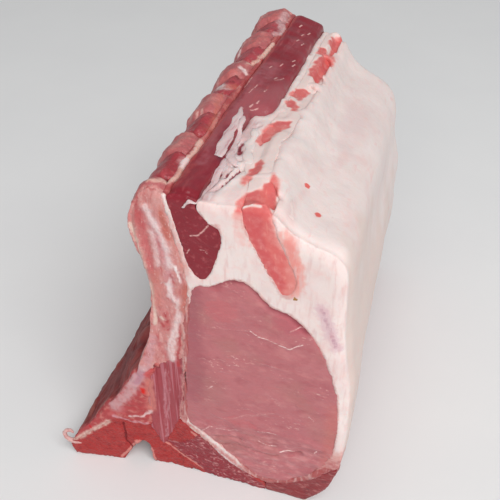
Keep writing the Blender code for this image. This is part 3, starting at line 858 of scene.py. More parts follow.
# Painted shade: the line of the top rim, where the cut dips under the fat's edge, is painted darker
SHADED_TOP_RIM = (
    (8.8, 104.8), (12, 107), (16.1, 109), (20.7, 109), (24.2, 105), (27.8, 100.8), (34.5, 98.7),
     (39.4, 93.6),
)
# Creases low in the cut, pressed in and painted darker as painted shade
CREASES = (
    ((7.1, 26.1), (12.7, 27.8), (16.7, 27.6)),
    ((9, 21), (15, 24.5), (19, 24)),
    ((20, 24), (30, 23), (40, 29)),
)

eye = fleshed("eye_of_loin", "eye_muscle", 1.5, let_out=0.5)
finer(eye, on_cut, cuts=2)
places, flat, cut_face = surveyed(eye)
rim = along(flat, SHADED_TOP_RIM, 3.4)
seams_and_glints = strongest(flat, SEAMS_AND_GLINTS_IN_EYE)
creases = strongest(flat, [(line, 1.5, 1) for line in CREASES])
dip = 0.09 * lumps(places, 2.2, 1.0, (1.8, 1, 1)) + 0.45 * lumps(places, 11, 5.0, (1.6, 1, 0.7)) - 0.9 * rim
low = ease((44 - flat[:, 2]) / 12)
torn = 0.5 * lumps(places, 4.5, 12.0, (2.2, 1, 0.8)) + 0.25 * lumps(places, 1.9, 6.0, (2, 1, 1))
dip = dip + low * torn
places[:, 1] += np.sign(places[:, 1]) * cut_face * (dip + 0.3 * seams_and_glints - 0.6 * creases)
put(eye, places)
# Painted shade along the top rim, stronger towards the right
paint(eye, "rim", rim * (0.45 + 0.55 * ease((flat[:, 0] - 11) / 6)))
paint(eye, "seams_and_glints", seams_and_glints * cut_face)
# Painted shade in the creases
paint(eye, "creases", creases * cut_face)
paint(eye, "lobe", around(flat, (34, -70, 94.5), (11, 20, 8)))
pinker = np.maximum(around(flat, (17, -70, 38.5), (12, 20, 5)), around(flat, (11, -70, 94), (12, 20, 10)))
paint(eye, "pinker", pinker)
grey = np.maximum(around(flat, (11, -70, 23), (16, 20, 9)), 0.6 * around(flat, (6, -70, 52), (13, 20, 22)))
paint(eye, "grey", grey)
paint(eye, "edge", ease((flat[:, 0] - 45) / 6) * ease((70 - flat[:, 2]) / 20))
paint(eye, "left", ease((9 - flat[:, 0]) / 10) * ease((flat[:, 2] - 34) / 20))
paint(eye, "by_fat", nearness(eye, "fat", 1.3) * cut_face)
foot = ease((36 + 0.1 * flat[:, 0] + 4 * lumps(places, 9, 3.0) - flat[:, 2]) / 7) * cut_face
paint(eye, "foot", foot)
brushed(eye, flat, (176, 98, 104), CUT_STROKES, share=cut_face * (flat[:, 0] < 3))

look = Look("loin_meat", 0.36, scatter=0.2, scatter_mm=1.6, wet=0.25)
# Painted highlights: clusters of small wet glints
glints = look.clouds(0.75, (2, 1, 1), 0.58, 0.72, 0.8, detail=4)
glints = look.arithmetic("MULTIPLY", glints, look.clouds(8, (1.5, 1, 1), 0.5, 0.68))
look.coats(
    ((176, 98, 104), 1),
    ((194, 120, 123), look.grain(13, (1, 1, 0.6), detail=3)),
    ((204, 136, 134), look.clouds(3.4, (1.5, 1, 0.9), 0.5, 0.74, 0.45, detail=6)),
    ((164, 80, 88), look.clouds(4.4, (1.4, 1, 0.9), 0.5, 0.28, 0.4, detail=6, bend=0.4)),
    ((226, 178, 172), glints),
    ((178, 116, 112), look.clouds(17, (1, 1, 1), 0.5, 0.7, 0.5, detail=2)),
    ((168, 112, 108), look.smooth("grey", 0, 1, 0.6)),
    ((196, 106, 110), look.ragged("pinker", 2.2, 0.6)),
    ((186, 94, 104), look.ragged("lobe", 2.0, 0.7, 0.2, 0.7)),
    ((156, 82, 92), look.ragged("left", 4, 0.6, 0.2, 0.9)),
    ((198, 112, 104), look.smooth("edge", 0, 1, 0.5)),
    ((186, 108, 108), look.smooth("by_fat", 0.3, 1, 0.5)),
    # Painted shade along the top rim
    ((146, 56, 70), look.smooth("rim", 0.05, 0.9, 0.7)),
    # Painted shade in the creases
    ((158, 84, 86), look.ragged("creases", 1.2, 0.4, 0.2, 1.1)),
    # Paler patches on the foot of the cut: paler meat, and partly painted highlights of wet glints
    ((214, 150, 150), look.within("foot", 2.2, (1.6, 1, 1), 0.46, 0.72, 0.5, detail=5, bend=0.3)),
    ((150, 82, 88), look.within("foot", 3.6, (2, 1, 1), 0.5, 0.32, 0.4)),
    # Pale seams, their near-white tops partly painted highlights
    ((214, 158, 156), look.ragged("seams_and_glints", 1.4, 0.7, 0.25, 1.0, (2, 1, 1))),
    ((246, 222, 218), look.ragged("seams_and_glints", 0.7, 0.9, 0.55, 0.9)),
)
look.brushwork()
look.relief(look.grain(0.9, (1.8, 1, 1), detail=4), 0.2)
look.relief(look.grain(4.5, (1.8, 1, 0.8), detail=4), 0.4)
softened(eye)
dress(eye, look, "eye_meat", "eye_muscle")

# Dark tail muscle
# The deep red muscle beside the rib ends. Its top is bare along the whole joint, under a film that
# catches the light, with a few white flecks where the knife took the membrane.

TAIL_STREAKS = (
    (((1.8, 122.9), (4.2, 123.7), (6.6, 126.5), (7.6, 128.4)), 0.7, 0.8),
    (((0, 115.3), (1.1, 117.3)), 0.6, 0.6),
    (((4.4, 118.1), (6.2, 118.3), (6.8, 117.1)), 0.6, 0.6),
    (((4.6, 121.5), (6, 121.2)), 0.5, 0.4),
)
TOP_FLECKS = (
    (-0.8, 65.9), (2, 58.6), (1.8, 51.4), (4.4, 49.7), (6.1, 29.7), (2.2, 26.2), (-0.9, 21.8), (3.5, 13.8),
    (3.2, 1.8), (-0.7, -13.7), (1.4, -9.6), (2.9, -6.5), (-5.2, -40.8), (3.9, 62), (5.2, 33.2),
)
TAIL_WHITE_LINES = (
    ((3.8, 12), (5.4, 14.4), (6, 17)),
    ((-1.6, -2), (-0.6, 5)),
    ((4, -9), (2, -12)),
    ((-4.6, 2), (-4.2, 10)),
)
LEFT_EDGE = ((-7.3, 134.2), (-4.8, 124.3), (-2.2, 114.2), (-0.5, 108))
DARK = (126, 34, 48)
MAUVE = (172, 98, 106)
TAIL_STROKES = (
    (MAUVE, 3.4, 0.6, ((-0.3, -42), (-1.1, -51))),
    (MAUVE, 6, 0.6, ((-1, 8), (-1.4, 24))),
    (MAUVE, 3.4, 0.6, ((-0.2, -20), (-0.4, -31))),
    (MAUVE, 4, 0.5, ((1, 40), (2, 52))),
    (DARK, 2.2, 0.7, ((1.4, -66), (2.4, -57), (3.2, -49))),
    (DARK, 2, 0.7, ((-0.8, -28), (0.2, -38), (0.4, -46))),
    (DARK, 2.6, 0.6, ((-5, -20), (-4, -8), (-4.4, 4))),
    (DARK, 3, 0.6, ((5, 18), (5.4, 30))),
    (DARK, 3, 0.5, ((-3, 58), (-2, 70))),
    ((178, 78, 76), 2.2, 0.6, ((-4.2, -69), (-3.4, -62), (-3.4, -54))),
    # Painted shade in the hollows beside the loose strands of fat
    ((92, 36, 54), 1.3, 1.0, ((5.1, -30.6), (5.8, -36.2), (7, -38.9), (8.6, -41.4))),
    ((92, 36, 54), 1.6, 0.8, ((2.8, -46.8), (4.6, -47.6))),
)

tail = fleshed("dark_tail", "tail_muscle", 1.0, let_out=0.5)
finer(tail, in_sight)
places, flat, cut_face = surveyed(tail)
on_top = ease((places[:, 2] - 126) / 2) * ease((depth(places) - 0.3) / 5)
streaks = strongest(flat, TAIL_STREAKS)
fleck_lines = [((x, y - 1.1), (x + 0.4, y + 1.1)) for x, y in TOP_FLECKS]
flecks = strongest(places, [(line, 0.6, 0.9) for line in fleck_lines], ON_TOP)
white_lines = strongest(places, [(line, 0.6, 0.7) for line in TAIL_WHITE_LINES], ON_TOP)
rise = 0.4 * lumps(places, 7, 3.0, (1, 2.5, 1)) + 0.1 * lumps(places, 2.2, 1.0, (1, 3, 1))
rise = np.where(cut_face, 0.3 * rise, rise) + 0.25 * flecks * on_top
put(tail, places + facing(tail) * rise[:, None])
softened(tail)
paint(tail, "streaks", streaks * cut_face + np.maximum(flecks, white_lines) * on_top)
middle = 1 - np.abs(places[:, 1] + 12) / 40
paint(tail, "film", on_top * (0.25 + 0.8 * ease(middle) + 0.7 * lumps(places, 9, 5.0, (1, 2, 1))))
paint(tail, "left_edge", along(flat, LEFT_EDGE, 1.5) * cut_face)
paint(tail, "orange", ease((-2.4 - places[:, 0]) / 3) * on_top)
brushed(tail, places, (144, 48, 58), TAIL_STROKES, ON_TOP, on_top)

look = Look("dark_meat", 0.34, scatter=0.15, scatter_mm=1.2, wet=0.25)
look.coats(
    ((122, 24, 36), 1),
    ((144, 42, 54), look.grain(9, (1, 2.5, 1))),
    ((168, 92, 98), look.smooth("film", 0.1, 1, 0.75)),
    ((176, 84, 88), look.clouds(1.6, (1, 7, 1), 0.54, 0.8, 0.7)),
    ((178, 74, 72), look.ragged("orange", 2.5, 0.6)),
    ((206, 124, 110), look.ragged("left_edge", 1.2, 0.7, 0.3, 0.9)),
)
look.brushwork(2.5)
look.coat((226, 176, 170), look.ragged("streaks", 0.8, 0.85, 0.3, 0.8))
look.relief(look.grain(1.2, (1, 5, 1), detail=3), 0.2)
look.relief(look.grain(3.5, (1, 2.5, 1), detail=3), 0.3)
dress(tail, look, "dark_meat", "tail_muscle")

# Salmon side muscle
# A thin pale red muscle in the fat. Its cut is redder on the left, with a painted highlight along its
# curved top edge; thin fat lies over its right edge and over most of its top, where it shows in patches.

# Painted highlight: a pale line along the curved top edge of the cut
CURVED_EDGE_HIGHLIGHT = ((17, 135.6), (18, 136.8), (20.7, 138), (23.5, 138.2))
RIGHT_EDGE = ((28.5, 137), (29.6, 130), (31.6, 126))
NEIGHBOURS = 40
DARKER_PART = ((17.4, 136), (24.2, 136), (24.8, 128), (27.2, 121), (32, 112), (31, 108.5), (22, 121))

side = fleshed("salmon_side", "side_muscle", 1.0, let_out=0.7)
finer(side, in_sight)
places = spots(side)
ways = facing(side)
cut_face = on_cut(places)
rise = 0.25 * lumps(places, 5, 3.0, (1, 1.6, 1)) + 0.12 * lumps(places, 1.6, 1.0)
places = places + ways * np.where(cut_face, 0.25 * rise, rise)[:, None]
around_it = spots(fat)
clear = nearness(fat, "side_muscle", 2.0) == 0
on_top = (facing(fat)[:, 2] > 0.6) & (around_it[:, 2] > TOP_FROM) & (around_it[:, 0] < 40)
around_it = around_it[clear & on_top]
tree = KDTree(len(around_it))
for index, spot in enumerate(around_it):
    tree.insert((spot[0], spot[1], 0), index)
tree.balance()
lies_bare = bare_patches(places)
for index in np.nonzero((ways[:, 2] > 0.2) & (places[:, 2] > TOP_FROM))[0]:
    x, y, z = places[index]
    level = np.mean([around_it[i][2] for _, i, _ in tree.find_n((x, y, 0), NEIGHBOURS)])
    share = ease((depth(places[index:index + 1])[0] - 1) / 5)
    places[index, 2] = z + share * (level + 0.04 - 0.3 * lies_bare[index] - z)
put(side, places)
softened(side)
places = spots(side)
flat = unbent(places)
bare = bare_patches(places)
covered = (1 - bare) * ease((places[:, 2] - 124) / 2) * (1 - cut_face)
# The painted highlight along the curved top edge, and the paler band of thin fat over the right edge
highlight_and_thin_fat = np.maximum(along(flat, CURVED_EDGE_HIGHLIGHT, 0.8), 0.5 * along(flat, RIGHT_EDGE, 3.5))
paint(side, "fat_over", np.maximum(covered, highlight_and_thin_fat * cut_face))
paint(side, "darker", inside(flat, DARKER_PART, 1.6, ON_CUT) * cut_face)
paint(side, "paler", ease((flat[:, 0] - 29) / 6) * cut_face)
paint(side, "by_fat", nearness(side, "fat", 1.6) * cut_face * ease((136 - flat[:, 2]) / 6))
paint(side, "core", bare * (0.5 + lumps(places, 4, 2.0)) * (1 - cut_face))

look = Look("salmon_meat", 0.38, scatter=0.2, scatter_mm=1.5, wet=0.2)
look.coats(
    ((210, 94, 94), 1),
    ((222, 116, 110), look.grain(9, detail=3)),
    ((204, 84, 88), look.ragged("darker", 2.5, 0.7, 0.2, 0.8)),
    ((224, 140, 132), look.ragged("paler", 3, 0.7, 0.2, 0.9)),
    ((208, 92, 96), look.ragged("core", 2, 0.5, 0.3, 0.8)),
    ((236, 170, 158), look.clouds(1.4, (1, 2, 2.5), 0.56, 0.8, 0.45)),
    ((232, 160, 150), look.ragged("by_fat", 1.2, 0.5, 0.3, 1.1)),
    # Where fat lies over the muscle, and the painted highlight along its curved top edge
    ((238, 180, 172), look.ragged("fat_over", 2.4, 0.9, -0.1, 0.7)),
    ((236, 214, 208), look.ragged("fat_over", 2.0, 0.97, 0.3, 0.9)),
)
look.relief(look.grain(1.4, (1, 3, 1), detail=3), 0.12)
dress(side, look, "pale_meat", "side_muscle")

# Ribs
# Six curved bones under a thin film. The near one is sawn lengthwise: red marrow lies between an
# outer pale edge and an inner white line of hard bone. The others show their broken tops.

look = Look("rib_bone", 0.38, scatter=0.12, scatter_mm=1.0, wet=0.2)
look.coats(
    ((168, 92, 92), 1),
    ((190, 124, 120), look.grain(6, (1, 1, 1.6))),
    ((148, 62, 68), look.clouds(4, (1, 1, 2), 0.5, 0.72, 0.8, detail=4)),
    ((182, 98, 100), look.ragged("tops", 3, 0.9)),
    ((196, 126, 122), look.within("tops", 3.4, (1, 2, 1), 0.5, 0.66, 0.8, detail=4)),
    ((208, 150, 138), look.clouds(1.7, (1.6, 1, 1), 0.6, 0.72, 0.5, detail=4, bend=0.5)),
    ((136, 58, 58), look.ragged("low", 4, 0.85, 0.3, 0.95)),
    ((202, 132, 128), look.smooth("cut", 0.3, 0.7)),
    ((214, 158, 152), look.within("cut", 1.7, (1, 1, 2.5), 0.46, 0.68, 0.9, detail=5)),
    ((180, 82, 82), look.within("cut", 2.0, (1, 1, 2.5), 0.5, 0.32, 0.8, detail=5, bend=0.4)),
)
look.brushwork(1.3, (1, 1, 2.6))
look.coat((238, 212, 206), look.within("cut", 0.9, (1, 1, 2), 0.58, 0.74, 0.45, detail=5, bend=0.5))
look.relief(look.grain(0.8, detail=4), 0.3)
look.relief(look.grain(2.4, (1, 1, 1.6), detail=4), 0.45)
for number in range(1, 7):
    rib = fleshed(f"rib_bone_{number}", f"rib_{number}", 1.0, proud=0.04, let_out=0.5)
    finer(rib, in_sight)
    places, flat, cut_face = surveyed(rib)
    tops = ease((places[:, 2] - TOP_FROM) / 10)
    soft_cut = 1 - ease((depth(places) - 0.3) / 3)
    strokes = brushed(rib, flat, (202, 132, 128), CUT_STROKES, share=soft_cut * (number in (1, 6)))
    brushed(rib, places, (170, 88, 90), BAND_STROKES, ON_TOP, tops * (1 - soft_cut))
    rise = 0.4 * lumps(places, 7, number, (1, 1, 2)) + 0.15 * lumps(places, 1.8, number)
    rise = rise + tops * (0.5 * lumps(places, 3.2, 2.0 * number) + 0.3 * lumps(places, 1.3, number))
    rise = np.where(cut_face, 0.25 * lumps(places, 2.4, 1.0) + 0.5 * strokes, rise)
    put(rib, places + facing(rib) * rise[:, None])
    softened(rib)
    paint(rib, "cut", soft_cut)
    paint(rib, "tops", tops * (1 - cut_face))
    paint(rib, "low", nearness(rib, "joint_gristle", 11) * (1 - soft_cut))
    dress(rib, look, "rib_bone", f"rib_{number}")

# Meat between the ribs
# Dark red meat that fills the gaps between the ribs, nearly flush with them under one film.

look = Look("rib_meat", 0.36, scatter=0.15, scatter_mm=1.2, wet=0.25)
look.coats(
    ((160, 46, 58), 1),
    ((180, 80, 86), look.grain(5, (1, 1.6, 3))),
    ((192, 120, 116), look.clouds(1.5, (1, 1, 4), 0.54, 0.74, 0.6, detail=5)),
    ((120, 34, 44), look.clouds(2.6, (1, 1, 3), 0.5, 0.32, 0.7, detail=5)),
    ((198, 118, 108), look.ragged("by_bone", 1.8, 0.5, 0.5, 1.0)),
)
look.brushwork()
look.relief(look.grain(0.9, (1, 1, 3), detail=4), 0.35)
look.relief(look.grain(2.6, (1, 1, 2), detail=3), 0.4)
for number in range(1, 6):
    meat = fleshed(f"between_ribs_{number}", f"rib_meat_{number}", 1.0, let_out=0.8)
    places = spots(meat)
    ways = facing(meat)
    outside = ease(-2 * ways[:, 0]) * (1 + ease((places[:, 2] - 96) / 30))
    outside = outside + ease(2 * ways[:, 2]) * (places[:, 2] > 125)
    rise = 0.75 * outside + 0.5 * lumps(places, 5, 20.0 + number, (1, 1, 2))
    rise = rise + 0.3 * lumps(places, 1.6, number)
    put(meat, places + ways * rise[:, None])
    brushed(meat, places, (160, 62, 66), BAND_STROKES, ON_TOP, ease((places[:, 2] - 124) / 6))
    by_bone = np.maximum(nearness(meat, f"rib_{number}", 2.2), nearness(meat, f"rib_{number + 1}", 2.2))
    paint(meat, "by_bone", by_bone)
    dress(meat, look, "red_meat", f"rib_meat_{number}")

# Deep striped muscle
# A narrow muscle between the eye and the spine, whose bundles run up and down across the cut,
# with white seams of gristle between them.

stripes = fleshed("striped_muscle_cut", "striped_muscle", 1.0, let_out=0.5)
finer(stripes, on_cut)
places, flat, cut_face = surveyed(stripes)
strokes = brushed(stripes, flat, (168, 78, 86), CUT_STROKES, share=cut_face)
stand_out = 0.6 * strokes + 0.15 * lumps(places, 1.6, 1.0, (1, 1, 5))
places[:, 1] += np.sign(places[:, 1]) * cut_face * stand_out
put(stripes, places)
look = Look("striped_meat", 0.36, scatter=0.15, scatter_mm=1.0, wet=0.25)
look.coats(
    ((150, 50, 60), 1),
    ((166, 70, 78), look.grain(3, (1, 1, 5), detail=3)),
    ((136, 34, 46), look.clouds(1.1, (1, 1, 40), 0.48, 0.34, 0.7, detail=2)),
)
look.brushwork(1.0, (1, 1, 5))
look.coat((202, 134, 144), look.clouds(1.0, (1, 1, 40), 0.55, 0.66, 0.45, detail=1.5))
look.relief(look.grain(1.0, (1, 1, 40), detail=2), 0.4)
dress(stripes, look, "striped_meat", "striped_muscle")

# Gristle between the chine and the ribs
# The pale ligament and joint gristle in the near cut, with small red pools beside it. Behind the
# cut its skin is the thin brown lining of the chest, over small lumps of fat and nerve.

gristle = fleshed("joint_gristle_mass", "joint_gristle", 1.1, proud=0.02, let_out=0.5)
finer(gristle, on_cut)
places, flat, cut_face = surveyed(gristle)
knots = ease((lumps(places, 10, 31.0, (1, 1.7, 1.2)) - 0.18) / 0.35)
# Folds pressed into the lining and painted darker as painted shade
folds = ease(1 - np.abs(lumps(places, 13, 17.0, (1, 1.2, 2.2))) * 3)
strokes = brushed(gristle, flat, (186, 96, 98), CUT_STROKES, share=cut_face)
by_ribs = np.max([nearness(gristle, f"rib_{number}", 18) for number in range(1, 7)], axis=0)
rise = 0.7 * lumps(places, 9, 3.0, (1, 1.5, 1)) + 0.35 * lumps(places, 3, 1.0) + 0.9 * knots - 0.5 * folds
rise = rise + 1.2 * ease(by_ribs)
paint(gristle, "by_ribs", by_ribs * (1 - cut_face))
flat_rise = 0.6 * strokes + 0.35 * lumps(places, 2.5, 1.0)
put(gristle, places + facing(gristle) * np.where(cut_face, flat_rise, rise)[:, None])
paint(gristle, "cut", ease((3.2 - depth(places)) / 2))
paint(gristle, "knots", knots)
paint(gristle, "folds", folds)
softened(gristle)
look = Look("gristle", 0.5, scatter=0.12, scatter_mm=1.0)
look.shader.inputs["Specular IOR Level"].default_value = 0.06
look.coats(
    ((122, 38, 40), 1),
    ((154, 70, 68), look.grain(7, (1, 1.6, 1))),
    ((98, 34, 38), look.clouds(3.5, (1, 1, 1), 0.5, 0.3, 0.7, detail=4, bend=0.6)),
    ((176, 124, 108), look.clouds(2.2, (1, 1, 1), 0.62, 0.75, 0.5, detail=4)),
    ((166, 92, 88), look.ragged("by_ribs", 4, 0.75, 0.35, 1.1)),
    ((172, 104, 94), look.ragged("knots", 2.5, 0.6, 0.35, 0.9)),
    # Painted shade in the folds
    ((92, 34, 38), look.ragged("folds", 2.0, 0.5, 0.5, 1.1)),
    ((174, 76, 78), look.smooth("cut", 0.2, 0.7)),
    ((196, 118, 112), look.within("cut", 2.2, (1, 1, 1), 0.48, 0.68, 0.9, detail=4)),
)
look.brushwork(1.6, (1, 1, 1.4))
look.relief(look.grain(1.4, detail=4), 0.25)
look.relief(look.grain(4, (1, 1.5, 1), detail=2), 0.4)
gristle_look = look
dress(gristle, look, "gristle", "joint_gristle")

# Chine bones and their discs
# Vertebrae sawn in half: red spongy bone with a pale rind towards the chest, and pads of white
# gristle between them. The saw left the foot of the near one ragged.

BONE_CRACK = ((-30.4, 23.3), (-30, 17), (-30.4, 12.4), (-28, 8.1))
CANAL_WALL = ((-33.2, 1), (-29, 7.4), (-25.5, 13.6), (-22.5, 13.2), (-20.4, 9), (-19.4, 1))

look = Look("spongy_bone", 0.45, scatter=0.1, scatter_mm=0.8, wet=0.12)
look.coats(
    ((158, 42, 42), 1),
    ((180, 62, 60), look.grain(5, detail=3)),
    ((128, 24, 28), look.window(look.cells(1.0), 0.34, 0.1, 0.5)),
    ((140, 32, 36), look.clouds(2.4, (1, 1, 1), 0.48, 0.34, 0.6, detail=4)),
    ((198, 98, 90), look.clouds(1.2, (1, 1, 1), 0.6, 0.76, 0.5)),
    ((210, 132, 124), look.ragged("rind", 1.6, 0.9, 0.25, 0.65)),
    ((118, 46, 44), look.ragged("chest", 3.0, 0.85, 0.3, 0.6)),
    ((120, 24, 30), look.ragged("crack", 1.0, 0.9, 0.35, 0.75)),
)
look.brushwork()
look.coats(
    ((140, 50, 60), look.smooth("meat", 0.3, 0.7, 0.85)),
    ((196, 132, 132), look.within("meat", 1.3, (1.8, 1, 0.9), 0.52, 0.7, bend=0.8)),
)
look.relief(look.cells(1.1), 0.25)
look.relief(look.grain(2.2, detail=4), 0.45)
bone_look = look


def crumbled(places):
    """Lifts the foot of a sawn piece here and there, where the saw tore crumbs out of its edge."""
    torn = np.clip(lumps(places, 2.0, 40.0) + 0.6 * lumps(places, 0.9, 41.0), 0, 1)
    places[:, 2] += 1.8 * torn * ease(1 - places[:, 2] / 2.5)
    return places


for number in range(1, 7):
    bone = fleshed(f"chine_bone_{number}", f"vertebra_{number}", 1.0)
    if number in (1, 6):
        finer(bone, on_cut)
    places, flat, cut_face = surveyed(bone)
    ways = facing(bone)
    crack = along(flat, BONE_CRACK, 0.9) * cut_face
    flap = around(flat, (-25.8, -70, 13.0), (3.2, 6, 3.4))
    rise = 0.35 * lumps(places, 5, number) + 0.15 * lumps(places, 1.6, number) - 0.8 * crack + 1.4 * flap
    chest = ease((-ways[:, 0] - 0.3) / 0.3) * ease((depth(places) - 1) / 2)
    rise = rise + chest * 0.5 * lumps(places, 8, 5.0)
    put(bone, crumbled(places + ways * rise[:, None]))
    rind = 0.9 * along(flat, CANAL_WALL, 1.1)
    brushed(bone, flat, (172, 56, 56), CUT_STROKES, share=cut_face)
    paint(bone, "rind", np.maximum(rind * cut_face, flap))
    paint(bone, "crack", crack)
    paint(bone, "chest", chest)
    softened(bone)
    dress(bone, bone_look, "bone", f"vertebra_{number}")
look = Look("disc_gristle", 0.34, scatter=0.15, scatter_mm=1.0, wet=0.25)
look.coats(
    ((196, 146, 142), 1),
    ((214, 180, 174), look.grain(4)),
    ((172, 94, 92), look.clouds(2, (1, 1, 1), 0.55, 0.7, 0.8, detail=4)),
)
look.relief(look.grain(1.0, detail=4), 0.25)
for number in range(1, 6):
    disc = fleshed(f"chine_disc_{number}", f"disc_{number}", 1.0, let_out=0.5)
    places = spots(disc)
    rise = 0.4 * lumps(places, 4, number) + 0.1 * lumps(places, 1.5, number)
    put(disc, crumbled(places + facing(disc) * rise[:, None]))
    dress(disc, look, "disc", f"disc_{number}")

# Arch and feather bones
# The bony arch behind the canal and the feather bones along the foot, sawn flush, with meat
# between them. In the near cut a white line of hard bone parts them from red streaky meat.

FEATHER_LINE = ((-16.5, 16), (-12.5, 12.6), (-8.7, 9.1), (-3, 5.4), (0.8, 2.5))
UPPER_LINE = ((-2.8, 24.5), (4, 20), (10.5, 13.6), (18.6, 6.4), (25.7, -1))
ABOVE_LINES = ((-16, 16.6), (0.6, 3), (4, -4), (30, -4), (26, 3), (10, 16), (-2, 26), (-6, 20))

named = [("arch_bone", "arch_tip")]
named += [(f"feather_bone_cut_{number}", f"feather_bone_{number}") for number in range(1, 7)]
for name, node in named:
    bone = fleshed(name, node, 1.0, let_out=0.45)
    if node in ("arch_tip", "feather_bone_1", "feather_bone_6"):
        finer(bone, on_cut)
    places, flat, cut_face = surveyed(bone)
    rise = 0.3 * lumps(places, 4, 2.0) + 0.2 * lumps(places, 1.5, 5.0)
    brushed(bone, flat, (172, 56, 56), CUT_STROKES, share=cut_face)
    put(bone, crumbled(places + facing(bone) * rise[:, None]))
    white = np.maximum(along(flat, FEATHER_LINE, 0.8), 0.9 * along(flat, UPPER_LINE, 1.3))
    above = inside(flat, ABOVE_LINES, 0.6, ON_CUT)
    paint(bone, "rind", white * cut_face)
    paint(bone, "meat", above * cut_face * (node != "arch_tip"))
    dress(bone, bone_look, "bone", node)
look = Look("foot_meat", 0.36, scatter=0.15, scatter_mm=1.2, wet=0.25)
look.coats(
    ((126, 30, 38), 1),
    ((152, 60, 62), look.grain(4, (2, 1, 1))),
    ((196, 122, 118), look.clouds(1.8, (2, 1.5, 1), 0.52, 0.7, 0.7, detail=5, bend=0.5)),
    ((108, 20, 30), look.clouds(2.6, (2, 1.5, 1), 0.46, 0.3, 0.7, detail=4)),
)
look.relief(look.grain(1.2, (1.6, 1, 1), detail=4), 0.4)
for number in range(1, 6):
    meat = fleshed(f"feather_meat_cut_{number}", f"feather_meat_{number}", 1.0, let_out=0.45)
    places = spots(meat)
    rise = 0.4 * lumps(places, 4, 2.0) + 0.15 * lumps(places, 1.5, 5.0)
    put(meat, crumbled(places + facing(meat) * rise[:, None]))
    dress(meat, look, "red_meat", f"feather_meat_{number}")

# Sole muscle
# The ragged red muscle at the foot of the back fat, torn rather than cut along its lower edge.

sole = fleshed("sole_muscle_cut", "sole_muscle", 1.1, let_out=0.45)
places = spots(sole)
rise = 0.8 * lumps(places, 5, 3.0, (1, 2, 1)) + 0.3 * lumps(places, 2, 1.0)
put(sole, crumbled(places + facing(sole) * np.where(on_cut(places), 0.4 * rise, rise)[:, None]))
paint(sole, "fat_over", nearness(sole, "fat", 6) * (1 - on_cut(spots(sole))))
softened(sole)
look.coat((196, 116, 112), look.ragged("fat_over", 4.0, 0.6, 0.45, 0.8, (1, 2, 1)))
dress(sole, look, "red_meat", "sole_muscle")

# Loose strands of fat
# Soft ribbons of fat that the knife freed. Three lie on the dark muscle, and a scalloped one lies
# along the edge of the flaps.

STRANDS = (
    (((3.3, -69.3), (4.6, -66.8), (5.2, -63), (5.2, -57), (4.7, -50), (4.5, -44)),
     (2.2, 2.8, 3, 3, 2.8, 2.2), 1.0),
    (((2.5, -46.8), (2, -41.5), (1.5, -34.6), (0.9, -27), (0.3, -20), (-0.6, -12.4)),
     (3.4, 4.6, 4.2, 3.6, 3, 1.4), 1.0),
    (((9.8, -48.2), (8, -46.9), (6, -44.4), (4.7, -39), (3.7, -33), (2.8, -26), (1.6, -18)),
     (1.6, 2.8, 3.2, 3.2, 3, 2.8, 1.8), 1.1),
    (((12, -45.8), (10.8, -41.6), (10, -38), (8.6, -33), (8.8, -29), (7.8, -25.4), (7.4, -22.4)),
     (3, 4.4, 2.6, 4.2, 2.4, 3.6, 2.4), 1.0),
)
ALONG_FLAPS = 4
LEVELLED_OVER = 9
STEP = 0.8
SIDES = 12
OVER_THE_EDGE = ((-0.4, -70.3, 133), (0.8, -70.4, 134.5), (2.1, -70.3, 136.2))


def swept(name, centres, widths, heights, up):
    """A closed tube of even small faces through places, flat or round, that looks up this way."""
    ways = np.gradient(centres, axis=0)
    across = np.cross(ways, up)
    across = across / np.linalg.norm(across, axis=1)[:, None]
    over = np.cross(across, ways)
    over = over / np.linalg.norm(over, axis=1)[:, None]
    turns = np.linspace(0, 2 * math.pi, SIDES, endpoint=False)
    rings = centres[:, None] + np.cos(turns)[None, :, None] * (across * widths[:, None] / 2)[:, None]
    rings = rings + np.sin(turns)[None, :, None] * (over * heights[:, None] / 2)[:, None]
    last = SIDES * (len(centres) - 1)
    edges = [(ring + j, ring + (j + 1) % SIDES) for ring in range(0, last, SIDES) for j in range(SIDES)]
    faces = [[one, other, other + SIDES, one + SIDES] for one, other in edges]
    faces += [list(range(SIDES))[::-1], list(range(last, last + SIDES))]
    mesh = bpy.data.meshes.new(name)
    mesh.from_pydata((rings.reshape(-1, 3) * MM).tolist(), [], faces)
    piece = bpy.data.objects.new(name, mesh)
    bpy.context.scene.collection.objects.link(piece)
    applied(piece, "REMESH", mode="VOXEL", voxel_size=0.4 * MM)
    applied(piece, "SMOOTH", factor=0.5, iterations=4)
    bpy.ops.object.shade_smooth()
    return piece


def ground(x, y):
    """How high the top of the joint is here."""
    high = 0
    for under in (fat, tail, side):
        met, spot, _, _ = under.ray_cast(Vector((x, y, 200)) * MM, Vector((0, 0, -1)))
        high = max(high, spot.z / MM if met else 0)
    return high


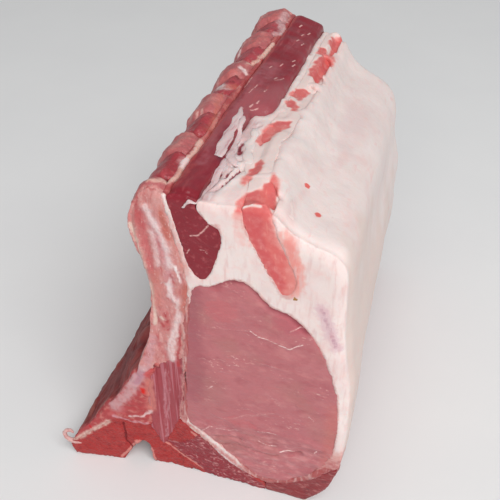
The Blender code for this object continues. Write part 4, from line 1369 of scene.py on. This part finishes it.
look = Look("loose_fat", 0.38, scatter=0.25, scatter_mm=1.5, wet=0.2)
look.coats(
    ((208, 178, 180), 1),
    ((226, 206, 204), look.grain(3, (1, 3, 1))),
    ((190, 132, 138), look.clouds(1.1, (1, 7, 1), 0.54, 0.74, 0.7)),
)
look.relief(look.grain(1.0, (1, 4, 1), detail=3), 0.2)
bpy.context.view_layer.update()
for number, (path, widths, thick) in enumerate(STRANDS, 1):
    corners = np.array(path, float)
    run = np.concatenate([[0], np.cumsum(np.linalg.norm(np.diff(corners, axis=0), axis=1))])
    steps = np.arange(0, run[-1], STEP)
    x = np.interp(steps, run, corners[:, 0]) + 0.3 * np.sin(steps * 0.7)
    y = np.interp(steps, run, corners[:, 1])
    high = np.array([ground(a, b) for a, b in zip(x, y)])
    high = running_mean(np.pad(high, LEVELLED_OVER // 2, "edge"), LEVELLED_OVER)
    wide = np.interp(steps, run, widths)
    centres = np.stack([x, y, high + 0.1 * thick - 0.2 * (number == ALONG_FLAPS)], axis=1)
    up = np.tile((0.0, 0.0, 1.0), (len(x), 1))
    if number == 1:
        centres = np.vstack([OVER_THE_EDGE, centres])
        wide = np.concatenate([(0.9, 1.5, 1.9), wide])
        up = np.vstack([((0, -1, 0.2), (0, -1, 0.4), (0, -0.8, 0.7)), up])
    ends = np.minimum(np.arange(len(wide)), np.arange(len(wide))[::-1])
    strand = swept(f"loose_fat_{number}", centres, wide, thick * (0.4 + 0.6 * ease(ends / 3)), up)
    places = spots(strand)
    rise = 0.25 * lumps(places, 2.4, 3.0 + number, (1, 4, 1)) + 0.06 * lumps(places, 0.9, 3.0)
    put(strand, places + facing(strand) * rise[:, None])
    brushed(strand, places, CREAM, ())
    dress(strand, fat_look if number == ALONG_FLAPS else look, "fat", f"fat_strand_{number}")

# Curl of skin
# A small curl of loose gristle that hangs on the near corner of the spine and bends back over it.

CURL = (
    (-47.5, -75, 6.6), (-50.5, -76.4, 7.2), (-53.2, -77.3, 7.9), (-55.3, -77.4, 9.4),
    (-55.9, -77.3, 11.6), (-54.9, -77, 13.4), (-53, -76.8, 13.8), (-51.6, -76.6, 12.6),
)
CURL_WIDTHS = np.array((3, 2.8, 2.4, 2, 1.9, 1.9, 1.8, 1.2))
CURL_HEIGHTS = np.array((2.4, 2.2, 2, 1.7, 1.5, 1.5, 1.4, 1))

curl = swept("corner_curl", np.array(CURL), CURL_WIDTHS, CURL_HEIGHTS, (0, 1, 0))
places = spots(curl)
put(curl, places + facing(curl) * 0.3 * lumps(places, 1.4, 5.0)[:, None])
paint(curl, "cut", np.ones(len(places)))
brushed(curl, places, CREAM, [((214, 166, 164), 2.2, 0.8, [(x, z + 0.8) for x, _, z in CURL])])
dress(curl, gristle_look, "gristle", "edge_curl")
